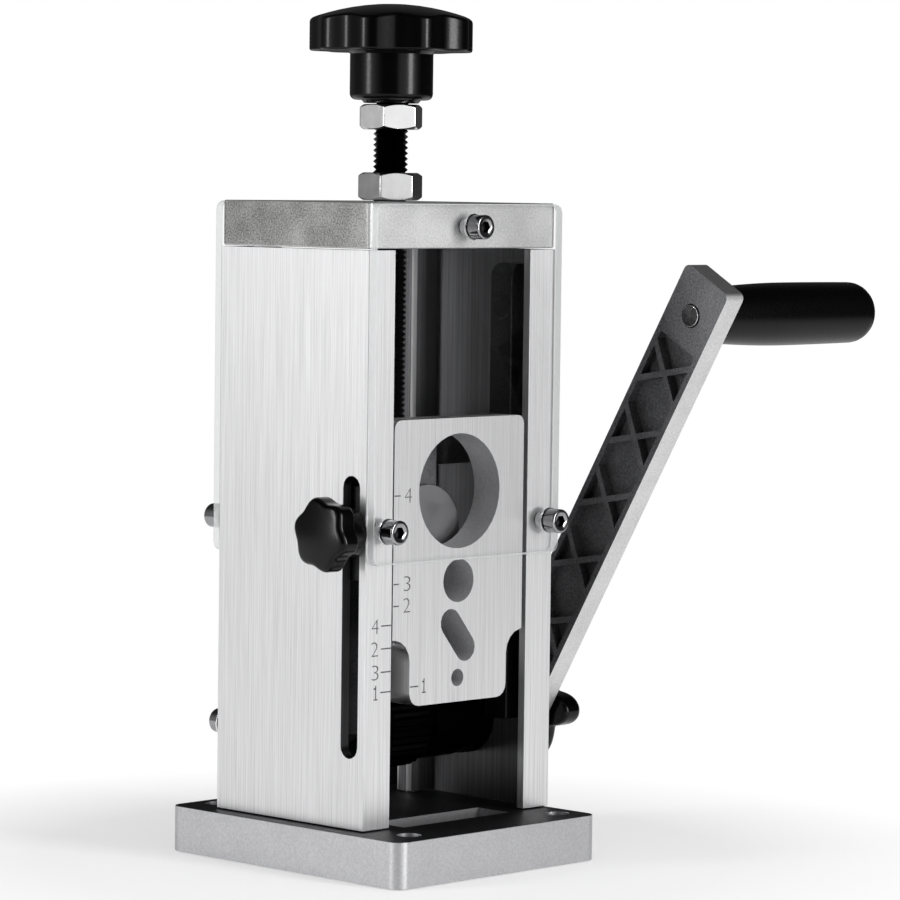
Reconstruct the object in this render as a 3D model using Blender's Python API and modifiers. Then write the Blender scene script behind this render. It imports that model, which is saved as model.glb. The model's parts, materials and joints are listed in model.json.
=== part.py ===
"""Hand crank wire stripper: a square aluminium column on a base plate.

A knurled roller on the crank shaft pulls a wire in through a sliding gauge plate and under
a round blade.  The blade hangs in a carriage on a long screw with a knob above the cap.
Metres, +Z up.  The front with the gauge plate faces -Y and the crank is on the right, at +X.
The origin is on the underside of the base plate, below the middle of the column.
"""
import math

import bmesh
import bpy
from mathutils import Matrix

# Clearances
seat_gap = 0.0003
cut_overrun = 0.0020

# Base plate
base_thickness = 0.0104
base_left_overhang = 0.0043
base_front_overhang = 0.01575
base_back_overhang = 0.01135
base_corner_radius = 0.0030
base_edge_chamfer = 0.0004
base_hole_radius = 0.00275
base_hole_side_inset = 0.0060
base_hole_front_inset = 0.0072
base_hole_back_inset = 0.0050
pocket_depth = 0.0030
pocket_play = 0.0015

# Column of two facing channels
column_width = 0.0600
column_depth = 0.0477
column_height = 0.1286
wall_thickness = 0.0025
lip_thickness = 0.0020
lip_width = 0.0083
port_radius = 0.0033
port_hole_radius = 0.0022
port_back_inset = 0.00885
slot_width = 0.0053
slot_bottom = 0.0265
slot_top = 0.0894
slot_front_inset = 0.00465

# Cap
cap_thickness = 0.0105
cap_corner_radius = 0.0012
cap_edge_chamfer = 0.0005

# Clear guards on the front and the back
guard_thickness = 0.0020
guard_side_inset = 0.0002
guard_height = 0.0798
guard_corner_radius = 0.0020
guard_screw_side = 0.0260
guard_screw_rise = 0.0075
cap_screw_drop = 0.0053

# Small socket screws
screw_radius = 0.0015
screw_head_radius = 0.00275
screw_head_height = 0.0034
screw_head_chamfer = 0.0003
screw_socket_width = 0.0025
screw_socket_depth = 0.0015
screw_cap_reach = 0.0060
washer_radius = 0.0030
washer_thickness = 0.0005
wide_washer_radius = 0.0041

# Rear guide plate, a fork that the wire leaves through
rear_guide_thickness = 0.0025
rear_guide_bottom = 0.0200
rear_guide_height = 0.0400
rear_guide_mouth = 0.0270
rear_guide_floor = 0.0360
rear_screw_height = 0.0301

# Base screws, up into the ports of the channels
base_screw_radius = 0.0019
base_screw_head_radius = 0.0035
base_screw_head_height = 0.0038
base_screw_recess = 0.0006
base_screw_length = 0.0180

# Gauge plate with its four wire holes
plate_thickness = 0.0080
plate_left = 0.0213
plate_right = 0.0203
plate_top = 0.1016
plate_bottom = 0.03735
plate_top_radius = 0.0020
tongue_left = 0.0158
tongue_right = 0.0153
tongue_corner_radius = 0.0030
shoulder_radius = 0.0053
shoulder_rise = 0.00995
shoulder_reach = 8.0
plate_hole_centre = -0.0005
hole_4_radius = 0.0130
hole_4_height = 0.0851
hole_3_radius = 0.0049
hole_3_height = 0.0648
slot_2_radius = 0.00315
slot_2_upper = (-0.0029, 0.0554)
slot_2_lower = (0.0019, 0.0495)
hole_1_radius = 0.0020
hole_1_height = 0.0428

# Gauge plate clamp: a block behind each lip, a stud and a small lobed knob
clamp_block_bottom = 0.0659
clamp_block_height = 0.0211
guide_block_depth = 0.0026
stud_radius = 0.0025
stud_height = 0.0768
stud_bite = 0.0045
lock_knob_hub_radius = 0.00565
lock_knob_hub_length = 0.0050
lock_knob_head_radius = 0.0084
lock_knob_head_length = 0.0047
lock_knob_dome = 0.0011
lock_knob_lobes = 6
lock_knob_turn = math.radians(45.0)

# Drive
shaft_radius = 0.0040
shaft_height = 0.0300
roller_radius = 0.0102
roller_length = 0.0120
roller_teeth = 36
roller_tooth_depth = 0.0005
collar_radius = 0.0090
collar_length = 0.0110
collar_gap = 0.0035
bearing_flange_radius = 0.0090
bearing_flange_thickness = 0.0032
bearing_sleeve_radius = 0.0070
bearing_stand_off = 0.0016
bearing_boss_radius = 0.0060
bearing_boss_length = 0.0040

# Crank
spacer_radius = 0.0065
spacer_length = 0.0088
crank_length = 0.1100
crank_lean = math.radians(30.4)
arm_thickness = 0.0057
arm_width = 0.0146
arm_foot_radius = 0.0080
arm_end_reach = 0.0098
arm_end_radius = 0.0016
spindle_boss_radius = 0.0062
spindle_boss_height = 0.0012
spindle_radius = 0.0025
spindle_proud = 0.0004
rib_pitch = 0.0173
rib_width = 0.0014
rib_reach = 0.0055
rib_first = 0.0155
rib_count = 5
arm_rim = 0.0014
pocket_recess = 0.0026
grip_length = 0.0546
grip_radius = 0.0071
grip_belly_radius = 0.00735
grip_neck_radius = 0.0064
grip_end_wall = 0.0060
crank_knob_hub_radius = 0.0052
crank_knob_hub_length = 0.0010
crank_knob_head_radius = 0.0127
crank_knob_head_length = 0.0056
crank_knob_dome = 0.0008
crank_knob_lobes = 4
crank_knob_turn = math.radians(2.0)
knob_end_wall = 0.0040

# Blade carriage and blade
blade_radius = 0.0140
blade_thickness = 0.0010
blade_bevel = 0.0020
blade_offset = -0.0005
blade_clearance = 0.0030
axle_radius = 0.0030
axle_head_radius = 0.0045
axle_head_length = 0.0012
carriage_half_width = 0.0065
carriage_front = 0.0100
carriage_back = 0.0100
carriage_foot = 0.0075
carriage_top = 0.0993
fork_slot_width = 0.0040
fork_slot_clearance = 0.0025
crosshead_height = 0.0103
crosshead_play = 0.0004
shield_radius = 0.0104
shield_top = 0.0860
shield_height = 0.0190
shield_thickness = 0.0030

# Adjusting screw with its nuts and knob
rod_radius = 0.0040
rod_bite = 0.0077
nut_width = 0.0130
nut_chamfer_share = 0.965
lock_nut_height = 0.0063
lock_nut_turn = math.radians(27.4)
rod_exposed = 0.0098
upper_nut_height = 0.0057
upper_nut_turn = math.radians(32.7)
knob_neck_radius = 0.0064
knob_neck_height = 0.0007
knob_hub_radius = 0.0095
knob_hub_height = 0.0110
knob_hub_round = 0.0015
knob_rim_radius = 0.0189
knob_rim_height = 0.0073
knob_rim_round = 0.0010
knob_dome_height = 0.0036
knob_lobes = 9
knob_turn = math.radians(-31.0)
knob_rod_depth = 0.0080

# Vertical guide bars behind the front lips
bar_width = 0.0062
bar_rise = 0.0203
bar_drop = 0.0033
bar_round = 0.0030
bar_back = 0.0120

# Shares of a knob's radius that shape its lobes
lobe_valley_share = 0.90
lock_knob_valley_share = 0.86
crank_knob_valley_share = 0.50
dome_shoulder_share = 0.60
dome_step_shares = (0, 0.25, 0.5, 0.75, 1.0)
lobe_roundness = 1.3
lobe_points = 8
grip_belly_share = 0.45

# Facets of round pieces
fine_facets = 40
round_facets = 28
small_facets = 16
corner_steps = 4

# Places that follow from the sizes above
half_width = column_width / 2
half_depth = column_depth / 2
inner_half_width = half_width - wall_thickness
column_bottom = base_thickness + seat_gap
column_top = column_bottom + column_height
cap_bottom = column_top
cap_top = cap_bottom + cap_thickness
lip_back = half_depth - lip_thickness
plate_back = half_depth - plate_thickness
stud_y = slot_front_inset - half_depth
guard_inner_face = half_depth + seat_gap
guard_outer_face = guard_inner_face + guard_thickness
guard_top = cap_top - guard_side_inset
guard_bottom = guard_top - guard_height
guard_screw_height = guard_bottom + guard_screw_rise
cap_screw_height = cap_top - cap_screw_drop
bar_bottom = column_bottom + bar_rise
bar_top = column_top - bar_drop
arm_inner_face = (
    half_width + bearing_stand_off + seat_gap + spacer_length + seat_gap
)
arm_outer_face = arm_inner_face + arm_thickness
spindle_y = -crank_length * math.sin(crank_lean)
spindle_height = shaft_height + crank_length * math.cos(crank_lean)
roller_middle = blade_offset
roller_right = roller_middle + roller_length / 2
blade_height = shaft_height + roller_radius + blade_clearance + blade_radius
lock_nut_bottom = cap_top + seat_gap
upper_nut_bottom = lock_nut_bottom + lock_nut_height + rod_exposed
upper_nut_top = upper_nut_bottom + upper_nut_height
knob_bottom = upper_nut_top + seat_gap
rim_bottom = knob_bottom + knob_neck_height + knob_hub_height
rod_bottom = carriage_top - rod_bite

# Turns that bring a local axis to the side named
front_turn = (math.pi / 2, 0, 0)
back_turn = (math.pi / 2, 0, math.pi)
right_turn = (math.pi / 2, 0, math.pi / 2)
left_turn = (math.pi / 2, 0, -math.pi / 2)

part_collection_name = "hand_crank_wire_stripper"
cutter_collection_name = "cutters"


def clear_scene():
    for old_object in list(bpy.data.objects):
        bpy.data.objects.remove(old_object, do_unlink=True)


def make_collection(name):
    collection = bpy.data.collections.new(name)
    bpy.context.scene.collection.children.link(collection)
    return collection


def make_material(name, colour, roughness, metallic):
    material = bpy.data.materials.new(name)
    material.use_nodes = True
    shader = material.node_tree.nodes["Principled BSDF"]
    shader.inputs["Base Color"].default_value = (*colour, 1.0)
    shader.inputs["Roughness"].default_value = roughness
    shader.inputs["Metallic"].default_value = metallic
    return material


def brushed_aluminium():
    return make_material("brushed_aluminium", (0.72, 0.72, 0.73), 0.35, 1.0)


def blasted_aluminium():
    return make_material("blasted_aluminium", (0.45, 0.45, 0.46), 0.60, 0.9)


def base_metal():
    return make_material("base_metal", (0.36, 0.36, 0.37), 0.50, 0.9)


def plated_steel():
    return make_material("plated_steel", (0.80, 0.80, 0.82), 0.22, 1.0)


def black_steel():
    return make_material("black_steel", (0.03, 0.03, 0.03), 0.45, 0.8)


def dark_steel():
    return make_material("dark_steel", (0.12, 0.12, 0.13), 0.40, 0.9)


def blade_steel():
    return make_material("blade_steel", (0.55, 0.55, 0.57), 0.25, 1.0)


def black_plastic():
    return make_material("black_plastic", (0.012, 0.012, 0.013), 0.30, 0.0)


def grip_plastic():
    return make_material("grip_plastic", (0.010, 0.010, 0.011), 0.40, 0.0)


def clear_plastic():
    return make_material("clear_plastic", (0.90, 0.92, 0.93), 0.05, 0.0)


def cast_metal():
    return make_material("cast_metal", (0.42, 0.42, 0.43), 0.55, 0.8)


def arc_points(centre_x, centre_y, radius, start_degrees, end_degrees, steps):
    """Points along an arc, both ends included."""
    points = []
    for step in range(steps + 1):
        angle = math.radians(start_degrees + (end_degrees - start_degrees) * step / steps)
        points.append((centre_x + radius * math.cos(angle), centre_y + radius * math.sin(angle)))
    return points


def circle_points(centre_x, centre_y, radius, facets):
    return arc_points(centre_x, centre_y, radius, 0, 360, facets)[:-1]


def rounded_rectangle(left, right, bottom, top, radius):
    return (
        arc_points(right - radius, bottom + radius, radius, -90, 0, corner_steps)
        + arc_points(right - radius, top - radius, radius, 0, 90, corner_steps)
        + arc_points(left + radius, top - radius, radius, 90, 180, corner_steps)
        + arc_points(left + radius, bottom + radius, radius, 180, 270, corner_steps)
    )


def long_hole(first, second, radius, steps):
    """A slot with round ends between two centres."""
    along = math.degrees(math.atan2(second[1] - first[1], second[0] - first[0]))
    return (
        arc_points(second[0], second[1], radius, along - 90, along + 90, steps)
        + arc_points(first[0], first[1], radius, along + 90, along + 270, steps)
    )


def lobed_outline(radius, lobes, valley_share):
    """A round outline with smooth finger lobes; a crest lies on the local X axis."""
    points = []
    count = lobes * lobe_points
    for index in range(count):
        angle = 2 * math.pi * index / count
        dip = 1 - abs(math.cos(lobes * angle / 2)) ** lobe_roundness
        reach = radius * (1 - (1 - valley_share) * dip)
        points.append((reach * math.cos(angle), reach * math.sin(angle)))
    return points


def add_object(name, mesh, material, collection):
    new_object = bpy.data.objects.new(name, mesh)
    if material is not None:
        mesh.materials.append(material)
    collection.objects.link(new_object)
    return new_object


def weld_and_face_out(mesh):
    shape = bmesh.new()
    shape.from_mesh(mesh)
    bmesh.ops.remove_doubles(shape, verts=shape.verts, dist=0.000001)
    bmesh.ops.dissolve_limit(
        shape, angle_limit=math.radians(1), verts=shape.verts, edges=shape.edges, delimit={"NORMAL"},
    )
    bmesh.ops.recalc_face_normals(shape, faces=shape.faces)
    shape.to_mesh(mesh)
    shape.free()


def extruded(name, outlines, thickness, material, collection):
    """A flat outline, with any holes, filled and extruded evenly about its own plane."""
    curve = bpy.data.curves.new(name, "CURVE")
    curve.dimensions = "2D"
    curve.fill_mode = "BOTH"
    curve.extrude = thickness / 2
    for outline in outlines:
        spline = curve.splines.new("POLY")
        spline.points.add(len(outline) - 1)
        for point, place in zip(spline.points, outline):
            point.co = (place[0], place[1], 0, 1)
        spline.use_cyclic_u = True
    curve_object = bpy.data.objects.new(name + "_outline", curve)
    collection.objects.link(curve_object)
    bpy.context.view_layer.update()
    evaluated = curve_object.evaluated_get(bpy.context.evaluated_depsgraph_get())
    mesh = bpy.data.meshes.new_from_object(evaluated)
    mesh.name = name
    bpy.data.objects.remove(curve_object, do_unlink=True)
    weld_and_face_out(mesh)
    mesh.materials.clear()
    return add_object(name, mesh, material, collection)


def turned(name, profile, facets, material, collection, closed=False):
    """A turned piece about local Z; the profile runs down its outer side."""
    mesh = bpy.data.meshes.new(name)
    shape = bmesh.new()
    vertices = [shape.verts.new((radius, 0, height)) for radius, height in profile]
    for first, second in zip(vertices, vertices[1:]):
        shape.edges.new((first, second))
    if closed:
        shape.edges.new((vertices[-1], vertices[0]))
    shape.to_mesh(mesh)
    shape.free()
    turned_object = add_object(name, mesh, material, collection)
    screw = turned_object.modifiers.new("turn", "SCREW")
    screw.axis = "Z"
    screw.steps = facets
    screw.render_steps = facets
    screw.use_merge_vertices = True
    screw.merge_threshold = 0.00001
    screw.use_smooth_shade = True
    return turned_object


def rod_profile(radius, bottom, top):
    return [(0, top), (radius, top), (radius, bottom), (0, bottom)]


def tube_profile(outer_radius, inner_radius, bottom, top):
    return [(outer_radius, top), (outer_radius, bottom), (inner_radius, bottom), (inner_radius, top)]


def box(name, low, high, material, collection):
    """A block between two opposite corners."""
    mesh = bpy.data.meshes.new(name)
    shape = bmesh.new()
    bmesh.ops.create_cube(shape, size=1)
    middle = [(first + second) / 2 for first, second in zip(low, high)]
    size = [second - first for first, second in zip(low, high)]
    bmesh.ops.transform(shape, matrix=Matrix.Diagonal((*size, 1)), verts=shape.verts)
    shape.to_mesh(mesh)
    shape.free()
    block = add_object(name, mesh, material, collection)
    block.location = middle
    return block


def place(placed_object, location, rotation=(0, 0, 0)):
    placed_object.location = location
    placed_object.rotation_euler = rotation
    return placed_object


def shift_mesh(shifted_object, height):
    """Move a mesh along its object's own Z axis."""
    shifted_object.data.transform(Matrix.Translation((0, 0, height)))


def hide_cutter(cutter):
    cutter.hide_render = True
    cutter.display_type = "WIRE"


def combine(target, tool, operation):
    """Cut, join or trim the target with the tool."""
    hide_cutter(tool)
    boolean = target.modifiers.new(tool.name, "BOOLEAN")
    boolean.operation = operation
    boolean.solver = "EXACT"
    boolean.object = tool


def chamfer(target, width, segments=1, angle_degrees=40):
    bevel = target.modifiers.new("edges", "BEVEL")
    bevel.width = width
    bevel.segments = segments
    bevel.limit_method = "ANGLE"
    bevel.angle_limit = math.radians(angle_degrees)
    bevel.use_clamp_overlap = True


def cut_round(target, radius, length, location, rotation, facets, cutters):
    """A round hole with its middle at the place given."""
    profile = rod_profile(radius, -length / 2, length / 2)
    cutter = turned(target.name + "_hole", profile, facets, None, cutters)
    place(cutter, location, rotation)
    combine(target, cutter, "DIFFERENCE")


def shade(shaded_object):
    shaded_object.data.shade_smooth()
    shaded_object.data.set_sharp_from_angle(angle=math.radians(35))


# Base plate

def port_y():
    return half_depth - port_back_inset


def port_x():
    return inner_half_width - port_radius


def build_base_plate(material, parts, cutters):
    left = -half_width - base_left_overhang
    front = -half_depth - base_front_overhang
    back = half_depth + base_back_overhang
    outlines = [rounded_rectangle(left, half_width, front, back, base_corner_radius)]
    for side in (-1, 1):
        hole_x = side * (half_width - base_hole_side_inset)
        for hole_y in (front + base_hole_front_inset, back - base_hole_back_inset):
            outlines.append(circle_points(hole_x, hole_y, base_hole_radius, round_facets))
    plate = extruded("base_plate", outlines, base_thickness, material, parts)
    place(plate, (0, 0, base_thickness / 2))
    chamfer(plate, base_edge_chamfer)
    pocket = box(
        "tongue_pocket",
        (-tongue_left - pocket_play, -half_depth - seat_gap, base_thickness - pocket_depth),
        (tongue_right + pocket_play, -plate_back + pocket_play, base_thickness + cut_overrun),
        None, cutters,
    )
    combine(plate, pocket, "DIFFERENCE")
    recess_top = base_screw_recess + base_screw_head_height + seat_gap
    head_hole = base_screw_head_radius + seat_gap
    shank_hole = base_screw_radius + seat_gap
    for side in (-1, 1):
        profile = [
            (0, base_thickness + cut_overrun),
            (shank_hole, base_thickness + cut_overrun),
            (shank_hole, recess_top),
            (head_hole, recess_top),
            (head_hole, -cut_overrun),
            (0, -cut_overrun),
        ]
        cutter = turned("base_screw_recess", profile, small_facets, None, cutters)
        place(cutter, (side * port_x(), port_y(), 0))
        combine(plate, cutter, "DIFFERENCE")


def build_base_screw(side, material, parts):
    head_bottom = base_screw_recess
    head_top = head_bottom + base_screw_head_height
    profile = [
        (0, head_bottom + base_screw_length),
        (base_screw_radius, head_bottom + base_screw_length),
        (base_screw_radius, head_top),
        (base_screw_head_radius, head_top),
        (base_screw_head_radius, head_bottom),
        (0, head_bottom),
    ]
    name = "base_screw_left" if side < 0 else "base_screw_right"
    screw = turned(name, profile, small_facets, material, parts)
    place(screw, (side * port_x(), port_y(), 0))


# Column

def channel_outline(side):
    """One channel in plan: a side wall with two lips and a round screw port inside."""
    lip_edge = half_width - lip_width
    port = arc_points(port_x(), port_y(), port_radius, 90, 270, 2 * corner_steps)
    outline = [
        (half_width, -half_depth),
        (half_width, half_depth),
        (lip_edge, half_depth),
        (lip_edge, lip_back),
        (inner_half_width, lip_back),
        (inner_half_width, port_y() + port_radius),
    ]
    outline += port
    outline += [
        (inner_half_width, port_y() - port_radius),
        (inner_half_width, -lip_back),
        (lip_edge, -lip_back),
        (lip_edge, -half_depth),
    ]
    hole = circle_points(port_x(), port_y(), port_hole_radius, small_facets)
    return [[(side * x, y) for x, y in points] for points in (outline, hole)]


def cut_lip_screw_holes(channel, side, cutters):
    x = side * guard_screw_side
    length = lip_thickness + 2 * cut_overrun
    hole = screw_radius + seat_gap
    middle = half_depth - lip_thickness / 2
    cut_round(channel, hole, length, (x, -middle, guard_screw_height), front_turn, small_facets, cutters)
    cut_round(channel, hole, length, (x, middle, guard_screw_height), front_turn, small_facets, cutters)
    cut_round(channel, hole, length, (x, middle, rear_screw_height), front_turn, small_facets, cutters)


def build_left_channel(material, parts, cutters):
    channel = extruded("left_channel", channel_outline(-1), column_height, material, parts)
    place(channel, (0, 0, column_bottom + column_height / 2))
    cut_lip_screw_holes(channel, -1, cutters)
    reach = (slot_top - slot_bottom - slot_width) / 2
    slot = extruded(
        "side_slot", [long_hole((0, -reach), (0, reach), slot_width / 2, 2 * corner_steps)],
        wall_thickness + 2 * cut_overrun, None, cutters,
    )
    place(slot, (-half_width + wall_thickness / 2, stud_y, (slot_top + slot_bottom) / 2), left_turn)
    combine(channel, slot, "DIFFERENCE")


def build_right_channel(material, parts, cutters):
    channel = extruded("right_channel", channel_outline(1), column_height, material, parts)
    place(channel, (0, 0, column_bottom + column_height / 2))
    cut_lip_screw_holes(channel, 1, cutters)
    middle = half_width - wall_thickness / 2
    cut_round(
        channel, bearing_sleeve_radius + seat_gap, wall_thickness + 2 * cut_overrun,
        (middle, 0, shaft_height), right_turn, round_facets, cutters,
    )


def build_top_cap(material, parts, cutters):
    outline = rounded_rectangle(-half_width, half_width, -half_depth, half_depth, cap_corner_radius)
    bore = circle_points(0, 0, rod_radius + seat_gap, round_facets)
    height = cap_thickness - seat_gap
    cap = extruded("top_cap", [outline, bore], height, material, parts)
    place(cap, (0, 0, cap_top - height / 2))
    chamfer(cap, cap_edge_chamfer)
    length = screw_cap_reach + seat_gap + cut_overrun
    for side in (-1, 1):
        middle = side * (half_depth + cut_overrun - length / 2)
        cut_round(
            cap, screw_radius + seat_gap, length, (0, middle, cap_screw_height),
            front_turn, small_facets, cutters,
        )


def build_guide_bar(name, side, front, material, parts):
    """A bar with a round top against the side wall, behind the front lip."""
    near = inner_half_width - seat_gap - bar_width
    far = inner_half_width - seat_gap
    outline = [(near, bar_bottom), (far, bar_bottom)]
    outline += arc_points(far - bar_round, bar_top - bar_round, bar_round, 0, 90, corner_steps)
    outline += arc_points(near + bar_round, bar_top - bar_round, bar_round, 90, 180, corner_steps)
    mirrored = [(side * x, z) for x, z in outline]
    bar = extruded(name, [mirrored], front - bar_back, material, parts)
    place(bar, (0, -(front + bar_back) / 2, 0), front_turn)


# Guards and their screws

def build_guard(name, side, material, parts):
    """A clear sheet on the cap and the lips, with three screw holes."""
    reach = half_width - guard_side_inset
    outlines = [rounded_rectangle(
        -reach, reach, guard_bottom, guard_top, guard_corner_radius,
    )]
    hole = screw_radius + seat_gap
    for x, z in guard_screw_places():
        outlines.append(circle_points(x, z, hole, small_facets))
    guard = extruded(name, outlines, guard_thickness, material, parts)
    place(guard, (0, side * (guard_inner_face + guard_thickness / 2), 0), front_turn)


def guard_screw_places():
    return (
        (0, cap_screw_height),
        (-guard_screw_side, guard_screw_height),
        (guard_screw_side, guard_screw_height),
    )


def build_washer(name, radius, location, rotation, material, parts):
    profile = tube_profile(radius, screw_radius + seat_gap, 0, washer_thickness)
    washer = turned(name, profile, small_facets, material, parts, closed=True)
    place(washer, location, rotation)


def build_socket_screw(name, reach, location, rotation, material, parts, cutters):
    """A socket screw; its head stands on local z = 0 and its shank goes down."""
    profile = [
        (0, screw_head_height),
        (screw_head_radius - screw_head_chamfer, screw_head_height),
        (screw_head_radius, screw_head_height - screw_head_chamfer),
        (screw_head_radius, 0),
        (screw_radius, 0),
        (screw_radius, -reach),
        (0, -reach),
    ]
    screw = turned(name, profile, small_facets, material, parts)
    place(screw, location, rotation)
    socket = extruded(
        name + "_socket",
        [circle_points(0, 0, screw_socket_width / math.sqrt(3), 6)],
        2 * screw_socket_depth, None, cutters,
    )
    shift_mesh(socket, screw_head_height)
    place(socket, location, rotation)
    combine(screw, socket, "DIFFERENCE")


def build_guard_screws(side, material, parts, cutters):
    """Three screws with washers that hold one guard."""
    where = "front" if side < 0 else "rear"
    rotation = front_turn if side < 0 else back_turn
    washer_face = guard_outer_face + seat_gap
    head_face = washer_face + washer_thickness + seat_gap
    labels = ("top", "left", "right")
    for label, (x, z) in zip(labels, guard_screw_places()):
        reach_end = half_depth - lip_thickness if label != "top" else half_depth - screw_cap_reach
        name = where + "_screw_" + label
        build_washer(
            where + "_washer_" + label, washer_radius, (x, side * washer_face, z), rotation, material, parts,
        )
        build_socket_screw(
            name, head_face - reach_end, (x, side * head_face, z), rotation, material, parts, cutters,
        )


def build_rear_guide(material, parts, cutters):
    """A plate inside the rear lips with a mouth, open at the top, for the stripped wire."""
    reach = inner_half_width - seat_gap
    mouth = rear_guide_mouth / 2
    top = rear_guide_bottom + rear_guide_height
    outline = [(-reach, rear_guide_bottom), (reach, rear_guide_bottom), (reach, top), (mouth, top)]
    outline += arc_points(0, rear_guide_floor + mouth, mouth, 0, -180, 3 * corner_steps)
    outline += [(-mouth, top), (-reach, top)]
    outlines = [outline]
    for side in (-1, 1):
        x = side * guard_screw_side
        outlines.append(circle_points(x, rear_screw_height, screw_radius + seat_gap, small_facets))
    guide = extruded("rear_guide", outlines, rear_guide_thickness, material, parts)
    place(guide, (0, lip_back - seat_gap - rear_guide_thickness / 2, 0), front_turn)


def build_rear_guide_screws(material, parts, cutters):
    washer_face = half_depth + seat_gap
    head_face = washer_face + washer_thickness + seat_gap
    reach = head_face - (lip_back - seat_gap - rear_guide_thickness)
    for side, label in ((-1, "left"), (1, "right")):
        x = side * guard_screw_side
        build_washer(
            "guide_washer_" + label, wide_washer_radius, (x, washer_face, rear_screw_height),
            back_turn, material, parts,
        )
        build_socket_screw(
            "guide_screw_" + label, reach, (x, head_face, rear_screw_height),
            back_turn, material, parts, cutters,
        )


# Gauge plate and its clamp

def gauge_outline():
    """The plate from the front: a wide upper part and a narrower tongue below hollow shoulders."""
    rise = shoulder_radius * math.cos(math.radians(shoulder_reach))
    right_arc_x = tongue_right + shoulder_radius
    left_arc_x = -tongue_left - shoulder_radius
    arc_height = plate_bottom + shoulder_rise
    top_right = arc_points(
        plate_right - plate_top_radius, plate_top - plate_top_radius, plate_top_radius, 0, 90, corner_steps
    )
    top_left = arc_points(
        -plate_left + plate_top_radius, plate_top - plate_top_radius, plate_top_radius, 90, 180, corner_steps
    )
    bottom_left = arc_points(
        -tongue_left + tongue_corner_radius, plate_bottom + tongue_corner_radius,
        tongue_corner_radius, 180, 270, corner_steps,
    )
    bottom_right = arc_points(
        tongue_right - tongue_corner_radius, plate_bottom + tongue_corner_radius,
        tongue_corner_radius, 270, 360, corner_steps,
    )
    left_shoulder = [(-plate_left, arc_height + rise)]
    left_shoulder += arc_points(left_arc_x, arc_height, shoulder_radius, 90 - shoulder_reach, 0, corner_steps)
    right_shoulder = arc_points(
        right_arc_x, arc_height, shoulder_radius, 180, 90 + shoulder_reach, corner_steps
    )
    right_shoulder += [(plate_right, arc_height + rise)]
    return top_right + top_left + left_shoulder + bottom_left + bottom_right + right_shoulder


def build_gauge_plate(material, parts):
    outlines = [
        gauge_outline(),
        circle_points(plate_hole_centre, hole_4_height, hole_4_radius, fine_facets),
        circle_points(plate_hole_centre, hole_3_height, hole_3_radius, round_facets),
        long_hole(slot_2_upper, slot_2_lower, slot_2_radius, 2 * corner_steps),
        circle_points(plate_hole_centre, hole_1_height, hole_1_radius, small_facets),
    ]
    plate = extruded("gauge_plate", outlines, plate_thickness, material, parts)
    place(plate, (0, -(half_depth + plate_back) / 2, 0), front_turn)


def build_clamp_block(material, parts, cutters):
    block = box(
        "clamp_block",
        (-inner_half_width + seat_gap, -lip_back + seat_gap, clamp_block_bottom),
        (-plate_left - seat_gap, -plate_back, clamp_block_bottom + clamp_block_height),
        material, parts,
    )
    end = -inner_half_width + stud_bite + seat_gap
    start = -inner_half_width - cut_overrun
    cut_round(
        block, stud_radius + seat_gap, end - start, ((start + end) / 2, stud_y, stud_height),
        left_turn, small_facets, cutters,
    )


def build_guide_block(material, parts):
    box(
        "guide_block",
        (plate_right + seat_gap, -lip_back + seat_gap, clamp_block_bottom),
        (inner_half_width - seat_gap, -lip_back + seat_gap + guide_block_depth,
         clamp_block_bottom + clamp_block_height),
        material, parts,
    )


def small_knob(name, hub_radius, hub_length, head_radius, head_length, dome, lobes, valley_share,
               bore_radius, bore_depth, material, parts, cutters):
    """A lobed knob on local Z: hub from z = 0, head above it, and a blind bore from below."""
    knob = extruded(
        name, [lobed_outline(head_radius, lobes, valley_share)], head_length, material, parts,
    )
    shift_mesh(knob, hub_length + head_length / 2)
    chamfer(knob, head_length / 5, 2, 50)
    top = hub_length + head_length
    core = turned(
        name + "_core",
        [
            (0, top + dome),
            (hub_radius * dome_shoulder_share, top + dome / 2),
            (hub_radius, top - dome / 2),
            (hub_radius, 0),
            (0, 0),
        ],
        round_facets, None, cutters,
    )
    combine(knob, core, "UNION")
    bore = turned(
        name + "_bore", rod_profile(bore_radius, -cut_overrun, bore_depth), small_facets, None, cutters,
    )
    combine(knob, bore, "DIFFERENCE")
    return knob, core, bore


def place_all(pieces, location, rotation):
    for piece in pieces:
        place(piece, location, rotation)


def build_lock_knob(knob_material, stud_material, parts, cutters):
    knob_base = -half_width - seat_gap
    bore_depth = lock_knob_hub_length + lock_knob_head_length - knob_end_wall
    pieces = small_knob(
        "lock_knob", lock_knob_hub_radius, lock_knob_hub_length, lock_knob_head_radius,
        lock_knob_head_length, lock_knob_dome, lock_knob_lobes, lock_knob_valley_share,
        stud_radius + seat_gap, bore_depth, knob_material, parts, cutters,
    )
    place_all(pieces, (knob_base, stud_y, stud_height), left_turn)
    turn_about_axis(pieces, lock_knob_turn)
    inner_end = -inner_half_width + stud_bite
    outer_end = knob_base - bore_depth + seat_gap
    stud = turned(
        "lock_stud", rod_profile(stud_radius, 0, inner_end - outer_end), small_facets, stud_material, parts,
    )
    place(stud, (outer_end, stud_y, stud_height), right_turn)


def turn_about_axis(pieces, angle):
    """Turn pieces about their own local Z axis."""
    for piece in pieces:
        turned_matrix = piece.rotation_euler.to_matrix() @ Matrix.Rotation(angle, 3, "Z")
        piece.rotation_euler = turned_matrix.to_euler()


# Drive

def on_shaft(x):
    return (x, 0, shaft_height)


def build_drive_shaft(material, parts):
    left_end = -inner_half_width + 2 * seat_gap
    shaft = turned(
        "drive_shaft", rod_profile(shaft_radius, left_end, crank_knob_bore_end() - seat_gap),
        round_facets, material, parts,
    )
    place(shaft, on_shaft(0), right_turn)


def crank_knob_bore_depth():
    return crank_knob_hub_length + crank_knob_head_length - knob_end_wall


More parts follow.
